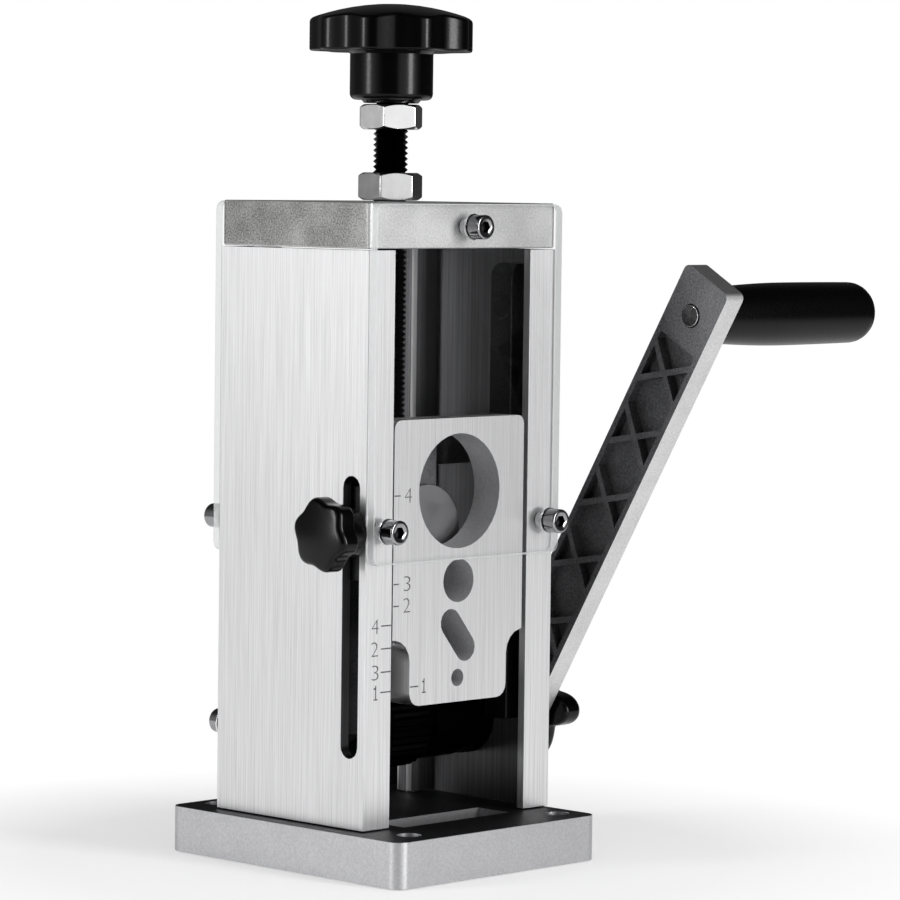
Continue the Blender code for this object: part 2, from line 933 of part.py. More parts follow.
def crank_knob_base():
    return arm_outer_face + seat_gap


def crank_knob_bore_end():
    return crank_knob_base() + crank_knob_bore_depth()


def build_feed_roller(material, parts):
    teeth = []
    for index in range(2 * roller_teeth):
        angle = math.pi * index / roller_teeth
        radius = roller_radius - roller_tooth_depth * (index % 2)
        teeth.append((radius * math.cos(angle), radius * math.sin(angle)))
    bore = circle_points(0, 0, shaft_radius + seat_gap, round_facets)
    roller = extruded("feed_roller", [teeth, bore], roller_length, material, parts)
    place(roller, on_shaft(roller_middle), right_turn)


def build_shaft_collar(material, parts):
    start = roller_right + collar_gap
    profile = tube_profile(collar_radius, shaft_radius + seat_gap, start, start + collar_length)
    collar = turned("shaft_collar", profile, round_facets, material, parts, closed=True)
    place(collar, on_shaft(0), right_turn)


def build_right_bearing(material, parts):
    """A flanged bush through the right wall."""
    flange_back = inner_half_width - seat_gap
    flange_front = flange_back - bearing_flange_thickness
    end = half_width + bearing_stand_off
    bore = shaft_radius + seat_gap
    profile = [
        (bearing_sleeve_radius, end),
        (bearing_sleeve_radius, flange_back),
        (bearing_flange_radius, flange_back),
        (bearing_flange_radius, flange_front),
        (bore, flange_front),
        (bore, end),
    ]
    bearing = turned("right_bearing", profile, round_facets, material, parts, closed=True)
    place(bearing, on_shaft(0), right_turn)


def build_left_bearing(material, parts):
    """A flanged bush on the inside of the left wall."""
    flange_back = -inner_half_width + seat_gap
    flange_front = flange_back + bearing_flange_thickness
    end = flange_front + bearing_boss_length
    bore = shaft_radius + seat_gap
    profile = [
        (bearing_boss_radius, end),
        (bearing_boss_radius, flange_front),
        (bearing_flange_radius, flange_front),
        (bearing_flange_radius, flange_back),
        (bore, flange_back),
        (bore, end),
    ]
    bearing = turned("left_bearing", profile, round_facets, material, parts, closed=True)
    place(bearing, on_shaft(0), right_turn)


# Crank

def build_crank_spacer(material, parts):
    start = half_width + bearing_stand_off + seat_gap
    profile = tube_profile(spacer_radius, shaft_radius + seat_gap, start, start + spacer_length)
    spacer = turned("crank_spacer", profile, round_facets, material, parts, closed=True)
    place(spacer, on_shaft(0), right_turn)


def arm_outline():
    """The arm along local Y: a round foot on the shaft and a square end past the spindle."""
    side = arm_width / 2
    end = crank_length + arm_end_reach
    foot_angle = math.degrees(math.asin(side / arm_foot_radius))
    outline = arc_points(
        0, 0, arm_foot_radius, 90 + foot_angle, 450 - foot_angle, 4 * corner_steps
    )
    outline += arc_points(
        side - arm_end_radius, end - arm_end_radius, arm_end_radius, 0, 90, corner_steps
    )
    outline += arc_points(
        -side + arm_end_radius, end - arm_end_radius, arm_end_radius, 90, 180, corner_steps
    )
    return outline


def shrunk_polygon(corners, inset):
    """A convex polygon, listed anticlockwise, with each side moved in."""
    lines = []
    count = len(corners)
    for index in range(count):
        x1, y1 = corners[index]
        x2, y2 = corners[(index + 1) % count]
        length = math.hypot(x2 - x1, y2 - y1)
        normal = ((y1 - y2) / length, (x2 - x1) / length)
        lines.append((normal, normal[0] * x1 + normal[1] * y1 + inset))
    points = []
    for index in range(count):
        (a1, b1), c1 = lines[index - 1]
        (a2, b2), c2 = lines[index]
        spread = a1 * b2 - a2 * b1
        points.append(((c1 * b2 - c2 * b1) / spread, (a1 * c2 - a2 * c1) / spread))
    return points


def arm_pockets():
    """Recesses that leave crossed ribs, measured down the arm from the spindle."""
    side = arm_width / 2 - arm_rim + rib_width / 2
    half_pitch = rib_pitch / 2
    pockets = []
    for index in range(rib_count):
        middle = crank_length - rib_first - rib_pitch * index
        below = middle - rib_reach
        above = middle + rib_reach
        pockets.append([(side, below), (side, above), (0, middle)])
        pockets.append([(-side, above), (-side, below), (0, middle)])
        if index > 0:
            next_middle = middle + rib_pitch
            next_below = next_middle - rib_reach
            pockets.append([
                (0, middle), (side, above), (side, next_below), (0, next_middle), (-side, next_below),
                (-side, above),
            ])
    first = crank_length - rib_first
    last = first - rib_pitch * (rib_count - 1)
    pockets.append([
        (0, first), (side, first + rib_reach), (side, first + half_pitch), (-side, first + half_pitch),
        (-side, first + rib_reach),
    ])
    pockets.append([
        (0, last), (-side, last - rib_reach), (-side, last - half_pitch), (side, last - half_pitch),
        (side, last - rib_reach),
    ])
    return [shrunk_polygon(pocket, rib_width / 2) for pocket in pockets]


def build_crank_arm(material, parts, cutters):
    outlines = [
        arm_outline(),
        circle_points(0, 0, shaft_radius + seat_gap, round_facets),
        circle_points(0, crank_length, spindle_radius + seat_gap, small_facets),
    ]
    arm = extruded("crank_arm", outlines, arm_thickness, material, parts)
    middle = (arm_inner_face + arm_outer_face) / 2
    place(arm, on_shaft(middle), left_turn)
    boss = extruded(
        "spindle_boss",
        [
            circle_points(0, crank_length, spindle_boss_radius, round_facets),
            circle_points(0, crank_length, spindle_radius + seat_gap, small_facets),
        ],
        arm_thickness / 2 + spindle_boss_height, None, cutters,
    )
    shift_mesh(boss, -(arm_thickness / 2 + spindle_boss_height) / 2)
    place(boss, on_shaft(middle), left_turn)
    combine(arm, boss, "UNION")
    pockets = extruded("arm_pockets", arm_pockets(), 2 * pocket_recess, None, cutters)
    place(pockets, on_shaft(arm_inner_face), left_turn)
    combine(arm, pockets, "DIFFERENCE")
    turn_about_axis((arm, boss, pockets), -crank_lean)


def build_spindle(material, parts):
    start = arm_inner_face - spindle_proud
    end = arm_outer_face + spindle_boss_height + seat_gap + grip_length - grip_end_wall - seat_gap
    spindle = turned("grip_spindle", rod_profile(spindle_radius, start, end), small_facets, material, parts)
    place(spindle, (0, spindle_y, spindle_height), right_turn)


def build_grip(material, parts):
    """A round grip with a blind bore, slim at the arm, full in the middle and round at the end."""
    bore = spindle_radius + seat_gap
    bore_end = grip_length - grip_end_wall
    profile = [(0, grip_length)]
    for step in range(1, 7):
        angle = math.radians(15 * step)
        profile.append((
            grip_radius * math.sin(angle), grip_length - grip_end_wall * (1 - math.cos(angle)),
        ))
    belly_height = grip_length * grip_belly_share
    profile += [
        (grip_belly_radius, belly_height),
        ((grip_belly_radius + grip_neck_radius) / 2, belly_height / 3),
        (grip_neck_radius, 0),
        (bore, 0),
        (bore, bore_end),
        (0, bore_end),
    ]
    grip = turned("crank_grip", profile, round_facets, material, parts)
    start = arm_outer_face + spindle_boss_height + seat_gap
    place(grip, (start, spindle_y, spindle_height), right_turn)


def build_crank_knob(material, parts, cutters):
    pieces = small_knob(
        "crank_knob", crank_knob_hub_radius, crank_knob_hub_length, crank_knob_head_radius,
        crank_knob_head_length, crank_knob_dome, crank_knob_lobes, crank_knob_valley_share,
        shaft_radius + seat_gap, crank_knob_bore_depth(), material, parts, cutters,
    )
    place_all(pieces, on_shaft(crank_knob_base()), right_turn)
    turn_about_axis(pieces, crank_knob_turn)


# Blade carriage

def build_blade_carriage(material, parts, cutters):
    """A block on the screw: a fork round the blade below and a crosshead between the walls above."""
    left = blade_offset - carriage_half_width
    right = blade_offset + carriage_half_width
    foot = blade_height - carriage_foot
    slot_top_height = blade_height + blade_radius + fork_slot_clearance
    slot_left = blade_offset - fork_slot_width / 2
    slot_right = blade_offset + fork_slot_width / 2
    outline = [
        (left, foot), (slot_left, foot), (slot_left, slot_top_height), (slot_right, slot_top_height),
        (slot_right, foot), (right, foot), (right, carriage_top), (left, carriage_top),
    ]
    axle_hole_radius = axle_radius + seat_gap
    carriage = extruded(
        "blade_carriage", [outline], carriage_front + carriage_back, material, parts
    )
    place(carriage, (0, (carriage_back - carriage_front) / 2, 0), front_turn)
    reach = inner_half_width - crosshead_play
    crosshead = box(
        "crosshead",
        (-reach, 0, carriage_top - crosshead_height),
        (reach, port_y() - port_radius - crosshead_play, carriage_top - seat_gap / 3),
        None, cutters,
    )
    combine(carriage, crosshead, "UNION")
    cut_round(
        carriage, axle_hole_radius, 2 * (carriage_half_width + cut_overrun),
        (blade_offset, 0, blade_height), right_turn, small_facets, cutters,
    )
    length = rod_bite + seat_gap + cut_overrun
    cut_round(
        carriage, rod_radius + seat_gap, length,
        (0, 0, carriage_top + cut_overrun - length / 2), (0, 0, 0), round_facets, cutters,
    )


def build_blade_shield(material, parts):
    """A plate with a round top in front of the carriage, above the blade."""
    centre_height = shield_top - shield_radius
    bottom = shield_top - shield_height
    outline = [(-shield_radius, bottom), (shield_radius, bottom)]
    outline += arc_points(0, centre_height, shield_radius, 0, 180, 4 * corner_steps)
    shield = extruded("blade_shield", [outline], shield_thickness, material, parts)
    middle = carriage_front + seat_gap + shield_thickness / 2
    place(shield, (0, -middle, 0), front_turn)


def build_blade_axle(material, parts):
    """A pin through the fork with a flat head on the right."""
    face = carriage_half_width + seat_gap
    profile = [
        (0, face + axle_head_length),
        (axle_head_radius, face + axle_head_length),
        (axle_head_radius, face),
        (axle_radius, face),
        (axle_radius, -face),
        (0, -face),
    ]
    axle = turned("blade_axle", profile, round_facets, material, parts)
    place(axle, (blade_offset, 0, blade_height), right_turn)


def build_blade(material, parts):
    """A thin disc with an edge ground from both sides."""
    half = blade_thickness / 2
    bore = axle_radius + seat_gap
    profile = [
        (blade_radius - blade_bevel, half),
        (blade_radius, 0),
        (blade_radius - blade_bevel, -half),
        (bore, -half),
        (bore, half),
    ]
    blade = turned("round_blade", profile, fine_facets, material, parts, closed=True)
    place(blade, (blade_offset, 0, blade_height), right_turn)


# Adjusting screw

def build_adjusting_rod(material, parts):
    top = knob_bottom + knob_rod_depth
    turned("adjusting_rod", rod_profile(rod_radius, rod_bottom, top), round_facets, material, parts)


def build_nut(name, bottom, height, turn, material, parts, cutters):
    """A hexagon nut with both ends turned to a cone at the corners."""
    across_corners = nut_width / math.sqrt(3)
    outlines = [
        circle_points(0, 0, across_corners, 6),
        circle_points(0, 0, rod_radius + seat_gap, round_facets),
    ]
    nut = extruded(name, outlines, height, material, parts)
    place(nut, (0, 0, bottom + height / 2), (0, 0, turn))
    edge = across_corners * nut_chamfer_share
    drop = (across_corners - edge) * 2
    face_edge = nut_width / 2
    profile = [
        (0, height / 2 + seat_gap),
        (face_edge, height / 2 + seat_gap),
        (across_corners + seat_gap, height / 2 - drop),
        (across_corners + seat_gap, -height / 2 + drop),
        (face_edge, -height / 2 - seat_gap),
        (0, -height / 2 - seat_gap),
    ]
    trimmer = turned(name + "_trimmer", profile, fine_facets, None, cutters)
    place(trimmer, (0, 0, bottom + height / 2))
    combine(nut, trimmer, "INTERSECT")


def build_top_knob(material, parts, cutters):
    """The large lobed knob: a thick rim under a wide dome, and a hub down to the nut."""
    full_height = knob_rim_height + knob_dome_height + knob_rim_round
    knob = extruded(
        "top_knob", [lobed_outline(knob_rim_radius, knob_lobes, lobe_valley_share)],
        full_height, material, parts,
    )
    place(knob, (0, 0, rim_bottom + full_height / 2), (0, 0, knob_turn))
    chamfer(knob, knob_rim_round, 2, 50)
    rim_top = rim_bottom + knob_rim_height
    dome_reach = knob_rim_radius + seat_gap
    profile = []
    for share in dome_step_shares:
        profile.append((dome_reach * share, rim_top + knob_dome_height * (1 - share ** 2)))
    profile += [(dome_reach, rim_bottom - cut_overrun), (0, rim_bottom - cut_overrun)]
    dome = turned("top_knob_dome", profile, fine_facets, None, cutters)
    combine(knob, dome, "INTERSECT")
    hub_bottom = knob_bottom + knob_neck_height
    profile = [
        (0, rim_bottom + knob_rim_height / 3),
        (knob_hub_radius, rim_bottom + knob_rim_height / 3),
        (knob_hub_radius, hub_bottom + knob_hub_round),
        (knob_hub_radius - knob_hub_round, hub_bottom),
        (knob_neck_radius, hub_bottom),
        (knob_neck_radius, knob_bottom),
        (0, knob_bottom),
    ]
    core = turned("top_knob_core", profile, fine_facets, None, cutters)
    combine(knob, core, "UNION")
    length = knob_rod_depth + seat_gap + cut_overrun
    cut_round(
        knob, rod_radius + seat_gap, length, (0, 0, knob_bottom - cut_overrun + length / 2),
        (0, 0, 0), round_facets, cutters,
    )


def build_housing(parts, cutters, materials):
    build_base_plate(materials["base"], parts, cutters)
    build_left_channel(materials["brushed"], parts, cutters)
    build_right_channel(materials["brushed"], parts, cutters)
    build_top_cap(materials["blasted"], parts, cutters)
    build_guide_bar("right_guide_bar", 1, lip_back - seat_gap - guide_block_depth - seat_gap,
                    materials["brushed"], parts)
    build_guide_bar("left_guide_bar", -1, plate_back - seat_gap, materials["brushed"], parts)
    build_guard("front_guard", -1, materials["clear"], parts)
    build_guard("rear_guard", 1, materials["clear"], parts)
    for side in (-1, 1):
        build_base_screw(side, materials["plated"], parts)
        build_guard_screws(side, materials["plated"], parts, cutters)
    build_rear_guide(materials["brushed"], parts, cutters)
    build_rear_guide_screws(materials["plated"], parts, cutters)
    build_right_bearing(materials["black_steel"], parts)
    build_left_bearing(materials["black_steel"], parts)
    build_nut("lock_nut", lock_nut_bottom, lock_nut_height, lock_nut_turn,
              materials["plated"], parts, cutters)


def build_gauge(parts, cutters, materials):
    build_gauge_plate(materials["brushed"], parts)
    build_clamp_block(materials["brushed"], parts, cutters)
    build_guide_block(materials["brushed"], parts)
    build_lock_knob(materials["black"], materials["plated"], parts, cutters)


def build_drive(parts, cutters, materials):
    build_drive_shaft(materials["plated"], parts)
    build_feed_roller(materials["black_steel"], parts)
    build_shaft_collar(materials["black_steel"], parts)
    build_crank_spacer(materials["plated"], parts)
    build_crank_arm(materials["cast"], parts, cutters)
    build_spindle(materials["plated"], parts)
    build_grip(materials["grip"], parts)
    build_crank_knob(materials["black"], parts, cutters)


def build_cutting_head(parts, cutters, materials):
    build_blade_carriage(materials["brushed"], parts, cutters)
    build_blade_shield(materials["dark"], parts)
    build_blade_axle(materials["plated"], parts)
    build_blade(materials["blade"], parts)
    build_adjusting_rod(materials["black_steel"], parts)
    build_nut("upper_nut", upper_nut_bottom, upper_nut_height, upper_nut_turn,
              materials["plated"], parts, cutters)
    build_top_knob(materials["black"], parts, cutters)


def main():
    clear_scene()
    parts = make_collection(part_collection_name)
    cutters = make_collection(cutter_collection_name)
    materials = {
        "brushed": brushed_aluminium(),
        "blasted": blasted_aluminium(),
        "base": base_metal(),
        "plated": plated_steel(),
        "black_steel": black_steel(),
        "dark": dark_steel(),
        "blade": blade_steel(),
        "black": black_plastic(),
        "grip": grip_plastic(),
        "clear": clear_plastic(),
        "cast": cast_metal(),
    }
    build_housing(parts, cutters, materials)
    build_gauge(parts, cutters, materials)
    build_drive(parts, cutters, materials)
    build_cutting_head(parts, cutters, materials)
    for part in parts.objects:
        shade(part)


main()
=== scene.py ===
"""Looks of the hand crank wire stripper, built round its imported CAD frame."""
import json
import math

import bmesh
import bpy
from mathutils import Matrix, Vector

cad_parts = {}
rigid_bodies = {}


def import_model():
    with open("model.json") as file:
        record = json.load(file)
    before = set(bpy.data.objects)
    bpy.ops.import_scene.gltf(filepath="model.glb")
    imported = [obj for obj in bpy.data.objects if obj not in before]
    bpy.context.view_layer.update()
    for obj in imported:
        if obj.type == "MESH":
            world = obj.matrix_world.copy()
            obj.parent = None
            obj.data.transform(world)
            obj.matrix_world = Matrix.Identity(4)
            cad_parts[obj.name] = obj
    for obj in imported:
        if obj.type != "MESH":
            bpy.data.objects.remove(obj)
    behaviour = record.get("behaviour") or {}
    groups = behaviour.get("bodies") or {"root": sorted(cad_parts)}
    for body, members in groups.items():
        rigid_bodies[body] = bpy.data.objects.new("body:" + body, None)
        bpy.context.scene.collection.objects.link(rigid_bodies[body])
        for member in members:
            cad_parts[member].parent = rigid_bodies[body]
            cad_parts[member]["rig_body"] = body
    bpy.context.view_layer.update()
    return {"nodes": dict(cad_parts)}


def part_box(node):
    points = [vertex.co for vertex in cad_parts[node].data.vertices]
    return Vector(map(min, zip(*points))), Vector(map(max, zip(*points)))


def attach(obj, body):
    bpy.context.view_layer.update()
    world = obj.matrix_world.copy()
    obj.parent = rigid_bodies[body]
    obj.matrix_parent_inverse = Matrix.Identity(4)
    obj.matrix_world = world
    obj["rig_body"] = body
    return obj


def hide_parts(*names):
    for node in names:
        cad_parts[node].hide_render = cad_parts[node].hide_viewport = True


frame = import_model()
nodes = frame["nodes"]

MILLIMETRE = 0.001

# The camera that took the photograph: metres, then degrees, then millimetres of lens and sensor
CAMERA_PLACE = (-0.6772, -0.6826, 0.1560)
CAMERA_YAW = 45.63
CAMERA_PITCH = -3.74
CAMERA_ROLL = 0.72
CAMERA_LENS = 168.2
CAMERA_SENSOR = 36.0
CAMERA_CLIP = (0.01, 20)

# Points closer than this are one point, on a copied CAD node and on a new piece, and triangles
# that meet at less than this angle are one flat face
NODE_MERGE = 0.002 * MILLIMETRE
PIECE_MERGE = 0.001 * MILLIMETRE
FLAT_ANGLE = math.radians(0.5)

# Widths of the rounded edges
BLADE_EDGE = 0.05 * MILLIMETRE
WASHER_EDGE = 0.08 * MILLIMETRE
TURNED_EDGE = 0.12 * MILLIMETRE
BASE_EDGE = 0.20 * MILLIMETRE
SHEET_EDGE = 0.20 * MILLIMETRE
MACHINED_EDGE = 0.25 * MILLIMETRE
SHIELD_EDGE = 0.30 * MILLIMETRE
CAST_EDGE = 0.35 * MILLIMETRE
PLATE_EDGE = 0.55 * MILLIMETRE

# Screw thread of the adjusting rod, M8 coarse; its spare turns are cut off
THREAD_PITCH = 1.25 * MILLIMETRE
THREAD_DEPTH = 0.68 * MILLIMETRE
THREAD_SEGMENTS = 32
THREAD_MERGE = 0.003 * MILLIMETRE
THREAD_SPARE_TURNS = 2

# Hexagon nuts on the rod, 13 mm across flats
NUT_CORNER_RADIUS = 13.0 / 2 / math.cos(math.pi / 6) * MILLIMETRE
NUT_FACE_RADIUS = 6.2 * MILLIMETRE
NUT_CONE = math.radians(30)
NUT_SEGMENTS = 96
LOCK_NUT_TURN = math.radians(27.4)
UPPER_NUT_TURN = math.radians(32.7)
THREAD_CLEARANCE = 0.3 * MILLIMETRE

# Large knob; the rings of its dome are shares of the rim's radius
KNOB_SEGMENTS = 180
KNOB_LOBES = 9
KNOB_TURN = math.radians(-31.0)
KNOB_LOBE_DEPTH = 0.10
KNOB_RIM_RADIUS = 18.9 * MILLIMETRE
KNOB_HUB_RADIUS = 9.5 * MILLIMETRE
KNOB_HUB_ROUND = 1.4 * MILLIMETRE
KNOB_NECK_RADIUS = 6.2 * MILLIMETRE
KNOB_NECK_HEIGHT = 0.7 * MILLIMETRE
KNOB_HUB_HEIGHT = 11.0 * MILLIMETRE
KNOB_RIM_HEIGHT = 7.3 * MILLIMETRE
KNOB_DOME_HEIGHT = 3.5 * MILLIMETRE
KNOB_EDGE = 0.6 * MILLIMETRE
KNOB_DOME_RINGS = (0.82, 0.66, 0.5, 0.34, 0.18, 0.04)

# Small knobs: radius and length of hub and head, rise of the dome, rounding of the edge, and the
# lobes' count, depth as a share of the radius, and where a crest lies
LOCK_KNOB = {
    "hub": (5.65 * MILLIMETRE, 5.0 * MILLIMETRE),
    "head": (8.4 * MILLIMETRE, 4.7 * MILLIMETRE),
    "dome": 1.05 * MILLIMETRE,
    "edge": 1.2 * MILLIMETRE,
    "lobes": (6, 0.14, math.radians(45)),
}
CRANK_KNOB = {
    "hub": (5.2 * MILLIMETRE, 1.0 * MILLIMETRE),
    "head": (12.65 * MILLIMETRE, 5.6 * MILLIMETRE),
    "dome": 0.75 * MILLIMETRE,
    "edge": 1.6 * MILLIMETRE,
    "lobes": (4, 0.50, math.radians(2)),
}
LOCK_KNOB_DEPTH = -19.2 * MILLIMETRE
LOCK_KNOB_HEIGHT = 76.8 * MILLIMETRE
SMALL_KNOB_SEGMENTS = 144
SMALL_KNOB_STEPS = 5
SMALL_DOME_RINGS = (0.75, 0.6, 0.45, 0.3, 0.15, 0.04)

# A small knob's hub, in shares of its radius and length: slim at the foot, wider under the head
HUB_PROFILE = ((0.94, 0), (1, 0.1), (1, 0.8), (1.03, 1))
UNDERSIDE_ROUND = 0.7

# Crank
CRANK_LEAN = math.radians(30.4)
CRANK_LENGTH = 110.0 * MILLIMETRE
SHAFT_HEIGHT = 30.0 * MILLIMETRE
ARM_WIDTH = 14.6 * MILLIMETRE
ARM_POCKET_DEPTH = 2.6 * MILLIMETRE
ARM_END_REACH = 9.8 * MILLIMETRE
GRIP_SEGMENTS = 72
GRIP_STEPS = 14
GRIP_END_STEPS = 9
GRIP_EDGE = 0.4 * MILLIMETRE
GRIP_NECK_RADIUS = 6.4 * MILLIMETRE
GRIP_BELLY_RADIUS = 7.3 * MILLIMETRE
GRIP_END_RADIUS = 7.05 * MILLIMETRE
GRIP_BELLY_SHARE = 0.45
GRIP_END_ROUND = 6.0 * MILLIMETRE
# The round end stops just short of the axis, and a tiny flat closes it
GRIP_END_SWEEP = 0.985

# M3 socket screws; the socket is given by its corner radius
SCREW_SEGMENTS = 48
SHANK_RADIUS = 1.5 * MILLIMETRE
HEAD_LENGTH = 3.4 * MILLIMETRE
HEAD_EDGE = 0.15 * MILLIMETRE
HEAD_ROUND = 0.38 * MILLIMETRE
SOCKET_RADIUS = 1.42 * MILLIMETRE
SOCKET_MOUTH_SHARE = 1.22
SOCKET_MOUTH_DEPTH = 0.22 * MILLIMETRE
SOCKET_DEPTH = 1.7 * MILLIMETRE
SOCKET_POINT_SHARE = 0.3
SOCKET_POINT_DEPTH = 2.1 * MILLIMETRE

# Column
COLUMN_HALF_WIDTH = 30.0 * MILLIMETRE
COLUMN_HALF_DEPTH = 23.85 * MILLIMETRE
LIP_EDGE = 21.7 * MILLIMETRE

# Gauge plate: its holes lie within this reach of its middle, and its notches below this height
WIRE_HOLE_REACH = 14.0 * MILLIMETRE
NOTCH_TOP = 52.0 * MILLIMETRE

# Engraved scales in millimetres: digit, height, where its tick starts and ends, middle of the digit
PLATE_SCALE = (
    ("4", 84.8, -21.2, -19.3, -16.9),
    ("3", 65.1, -21.2, -19.5, -17.0),
    ("2", 60.2, -21.2, -19.5, -17.0),
    ("1", 41.8, -15.6, -13.0, -11.2),
)
COLUMN_SCALE = (
    ("4", 56.1, -24.9, -21.8, -26.8),
    ("2", 51.0, -24.9, -21.8, -26.9),
    ("3", 45.8, -24.9, -21.8, -26.7),
    ("1", 41.3, -24.9, -21.8, -26.4),
)
TICK_WIDTH = 0.30 * MILLIMETRE
MARK_THICKNESS = 0.02 * MILLIMETRE
MARK_LIFT = 0.012 * MILLIMETRE
DIGIT_SIZE = (2.2 * MILLIMETRE, 3.3 * MILLIMETRE)
DIGIT_THINNING = 0.022
# The flag of a 1, as shares of half its height above its middle
FLAG_SHARES = (0.45, 0.68)

# How much more a brushed face smears a reflection across its hair lines than along them
BRUSHED_SMEAR = 0.7

# A hair line's length over its width
STREAK_STRETCH = 120

# Width of the slow changes of tone on cast and blasted metal
CLOUD_SIZE_MM = 9.0

# Grain of the worn paint in the engraved lines
PAINT_GRAIN_MM = 0.5

# How much of a frosted acrylic edge is seen instead of what lies behind it
FROST_SHARE = 0.65

# Strength of the floor's own light near the tool, and of the room's light on the tool
FLOOR_GLOW = 0.30
ROOM_LIGHT = 0.45

# Floor: from the origin out, in metres, where it turns from shaded to white, and where metal turns
# from mirroring it white to mirroring the studio's walls in it, with the share that it starts from
FLOOR_SIZE = 6.0
FLOOR_HEIGHT = -0.2 * MILLIMETRE
SHADOW_ZONE = (0.08, 0.14)
MIRROR_ZONE = (0.35, 0.90)
MIRROR_START = 0.2

# Studio ceiling in metal: it dims between these upward parts of a direction, down to this light
CEILING_ZONE = (0.35, 0.75)
CEILING_LIGHT = 0.15

# What metal mirrors of the studio, from its bearing in degrees: white walls to the left and in
# front, dark cards between them and behind the camera, and a dim far side
STUDIO_WALLS = (
    (-180, 0.60), (-172, 0.30), (-160, 0.05), (-119, 0.05), (-112, 0.85), (-98, 1.00), (-68, 1.00),
    (-58, 0.30), (-48, 0.04), (8, 0.03), (30, 0.06), (62, 0.06), (90, 0.14), (118, 0.16),
    (132, 0.26), (143, 0.60), (151, 1.00), (172, 1.00), (180, 0.60),
)

# Tall strip softboxes to the left and in front: name, place, width and height in metres, watts
LAMP_TARGET = (0, 0, 0.09)
LAMPS = (
    ("left_strip", (-0.94, 0.36, 0.30), (0.18, 0.74), 3.5),
    ("front_strip", (0.17, -0.98, 0.30), (0.20, 0.74), 5.6),
)


# Materials


def linear(hex_colour):
    """An sRGB hex colour as linear red, green, blue and alpha."""
    channels = []
    for start in (1, 3, 5):
        value = int(hex_colour[start:start + 2], 16) / 255
        channels.append(value / 12.92 if value <= 0.04045 else ((value + 0.055) / 1.055) ** 2.4)
    return (*channels, 1.0)


def add_node(material, kind, settings=None, inputs=None, links=None):
    """A shader node with its settings, its input values and its links from other nodes."""
    tree = material.node_tree
    node = tree.nodes.new(kind)
    for name, value in (settings or {}).items():
        setattr(node, name, value)
    for name, value in (inputs or {}).items():
        node.inputs[name].default_value = value
    for name, (source, output) in (links or {}).items():
        tree.links.new(source.outputs[output], node.inputs[name])
    return node


def link(material, source, output, target, socket):
    material.node_tree.links.new(source.outputs[output], target.inputs[socket])


def new_material(name, colour, roughness, metallic):
    material = bpy.data.materials.new(name)
    material.use_nodes = True
    shader = material.node_tree.nodes["Principled BSDF"]
    shader.inputs["Base Color"].default_value = linear(colour)
    shader.inputs["Roughness"].default_value = roughness
    shader.inputs["Metallic"].default_value = metallic
    return material, shader


def apply_pattern(material, shader, pattern, colours=None, gloss=None, relief=None):
    """Lets a pattern, which is a node and its output's name, drive a shader.

    colours: the dark and the light hex colour, and the pattern's values where each is reached.
    gloss: the roughness at the pattern's low and high values. relief: strength and depth in mm.
    """
    if colours:
        dark, light, low, high = colours
        ramp = add_node(material, "ShaderNodeValToRGB", links={"Fac": pattern})
        ramp.color_ramp.elements[0].position = low
        ramp.color_ramp.elements[0].color = linear(dark)
        ramp.color_ramp.elements[1].position = high
        ramp.color_ramp.elements[1].color = linear(light)
        link(material, ramp, "Color", shader, "Base Color")
    if gloss:
        spread = add_node(
            material, "ShaderNodeMapRange",
            inputs={"From Min": 0.3, "From Max": 0.7, "To Min": gloss[0], "To Max": gloss[1]},
            links={"Value": pattern},
        )
        link(material, spread, "Result", shader, "Roughness")
    if relief:
        strength, depth_mm = relief
        bump = add_node(
            material, "ShaderNodeBump",
            inputs={"Strength": strength, "Distance": depth_mm * MILLIMETRE},
            links={"Height": pattern},
        )
        link(material, bump, "Normal", shader, "Normal")


def brushed_metal(name, dark, light, roughness, streak_mm, relief):
    """Metal brushed up and down: long hair lines, which smear what it mirrors sideways."""
    material, shader = new_material(name, light, roughness, 1.0)
    shader.inputs["Anisotropic"].default_value = BRUSHED_SMEAR
    sideways = add_node(
        material, "ShaderNodeTangent", settings={"direction_type": "RADIAL", "axis": "Z"},
    )
    link(material, sideways, "Tangent", shader, "Tangent")
    coordinates = add_node(material, "ShaderNodeTexCoord")
    across = 1 / (streak_mm * MILLIMETRE)
    mapping = add_node(
        material, "ShaderNodeMapping",
        inputs={"Scale": (across, across, across / STREAK_STRETCH)},
        links={"Vector": (coordinates, "Object")},
    )
    streaks = add_node(
        material, "ShaderNodeTexNoise", inputs={"Scale": 1.0, "Detail": 4.0, "Roughness": 0.7},
        links={"Vector": (mapping, "Vector")},
    )
    apply_pattern(
        material, shader, (streaks, "Fac"), colours=(dark, light, 0.34, 0.62),
        gloss=(roughness + 0.05, roughness - 0.04), relief=(relief, 0.02),
    )
    return material


def grained_metal(name, dark, light, roughness, grain_mm, relief, cloud=0.35, metallic=1.0):
    """Cast or blasted metal: a pebbled grain over slow, cloudy changes of tone."""
    material, shader = new_material(name, light, roughness, metallic)
    coordinates = add_node(material, "ShaderNodeTexCoord")
    grain = add_node(
        material, "ShaderNodeTexNoise",
        inputs={"Scale": 1 / (grain_mm * MILLIMETRE), "Detail": 2.0, "Roughness": 0.6},
        links={"Vector": (coordinates, "Object")},
    )
    clouds = add_node(
        material, "ShaderNodeTexNoise",
        inputs={"Scale": 1 / (CLOUD_SIZE_MM * MILLIMETRE), "Detail": 3.0},
        links={"Vector": (coordinates, "Object")},
    )
    both = add_node(
        material, "ShaderNodeMix", settings={"data_type": "FLOAT"}, inputs={"Factor": cloud},
        links={"A": (grain, "Fac"), "B": (clouds, "Fac")},
    )
    apply_pattern(material, shader, (both, "Result"), colours=(dark, light, 0.38, 0.64))
    apply_pattern(material, shader, (grain, "Fac"), relief=(relief, 0.08))
    return material


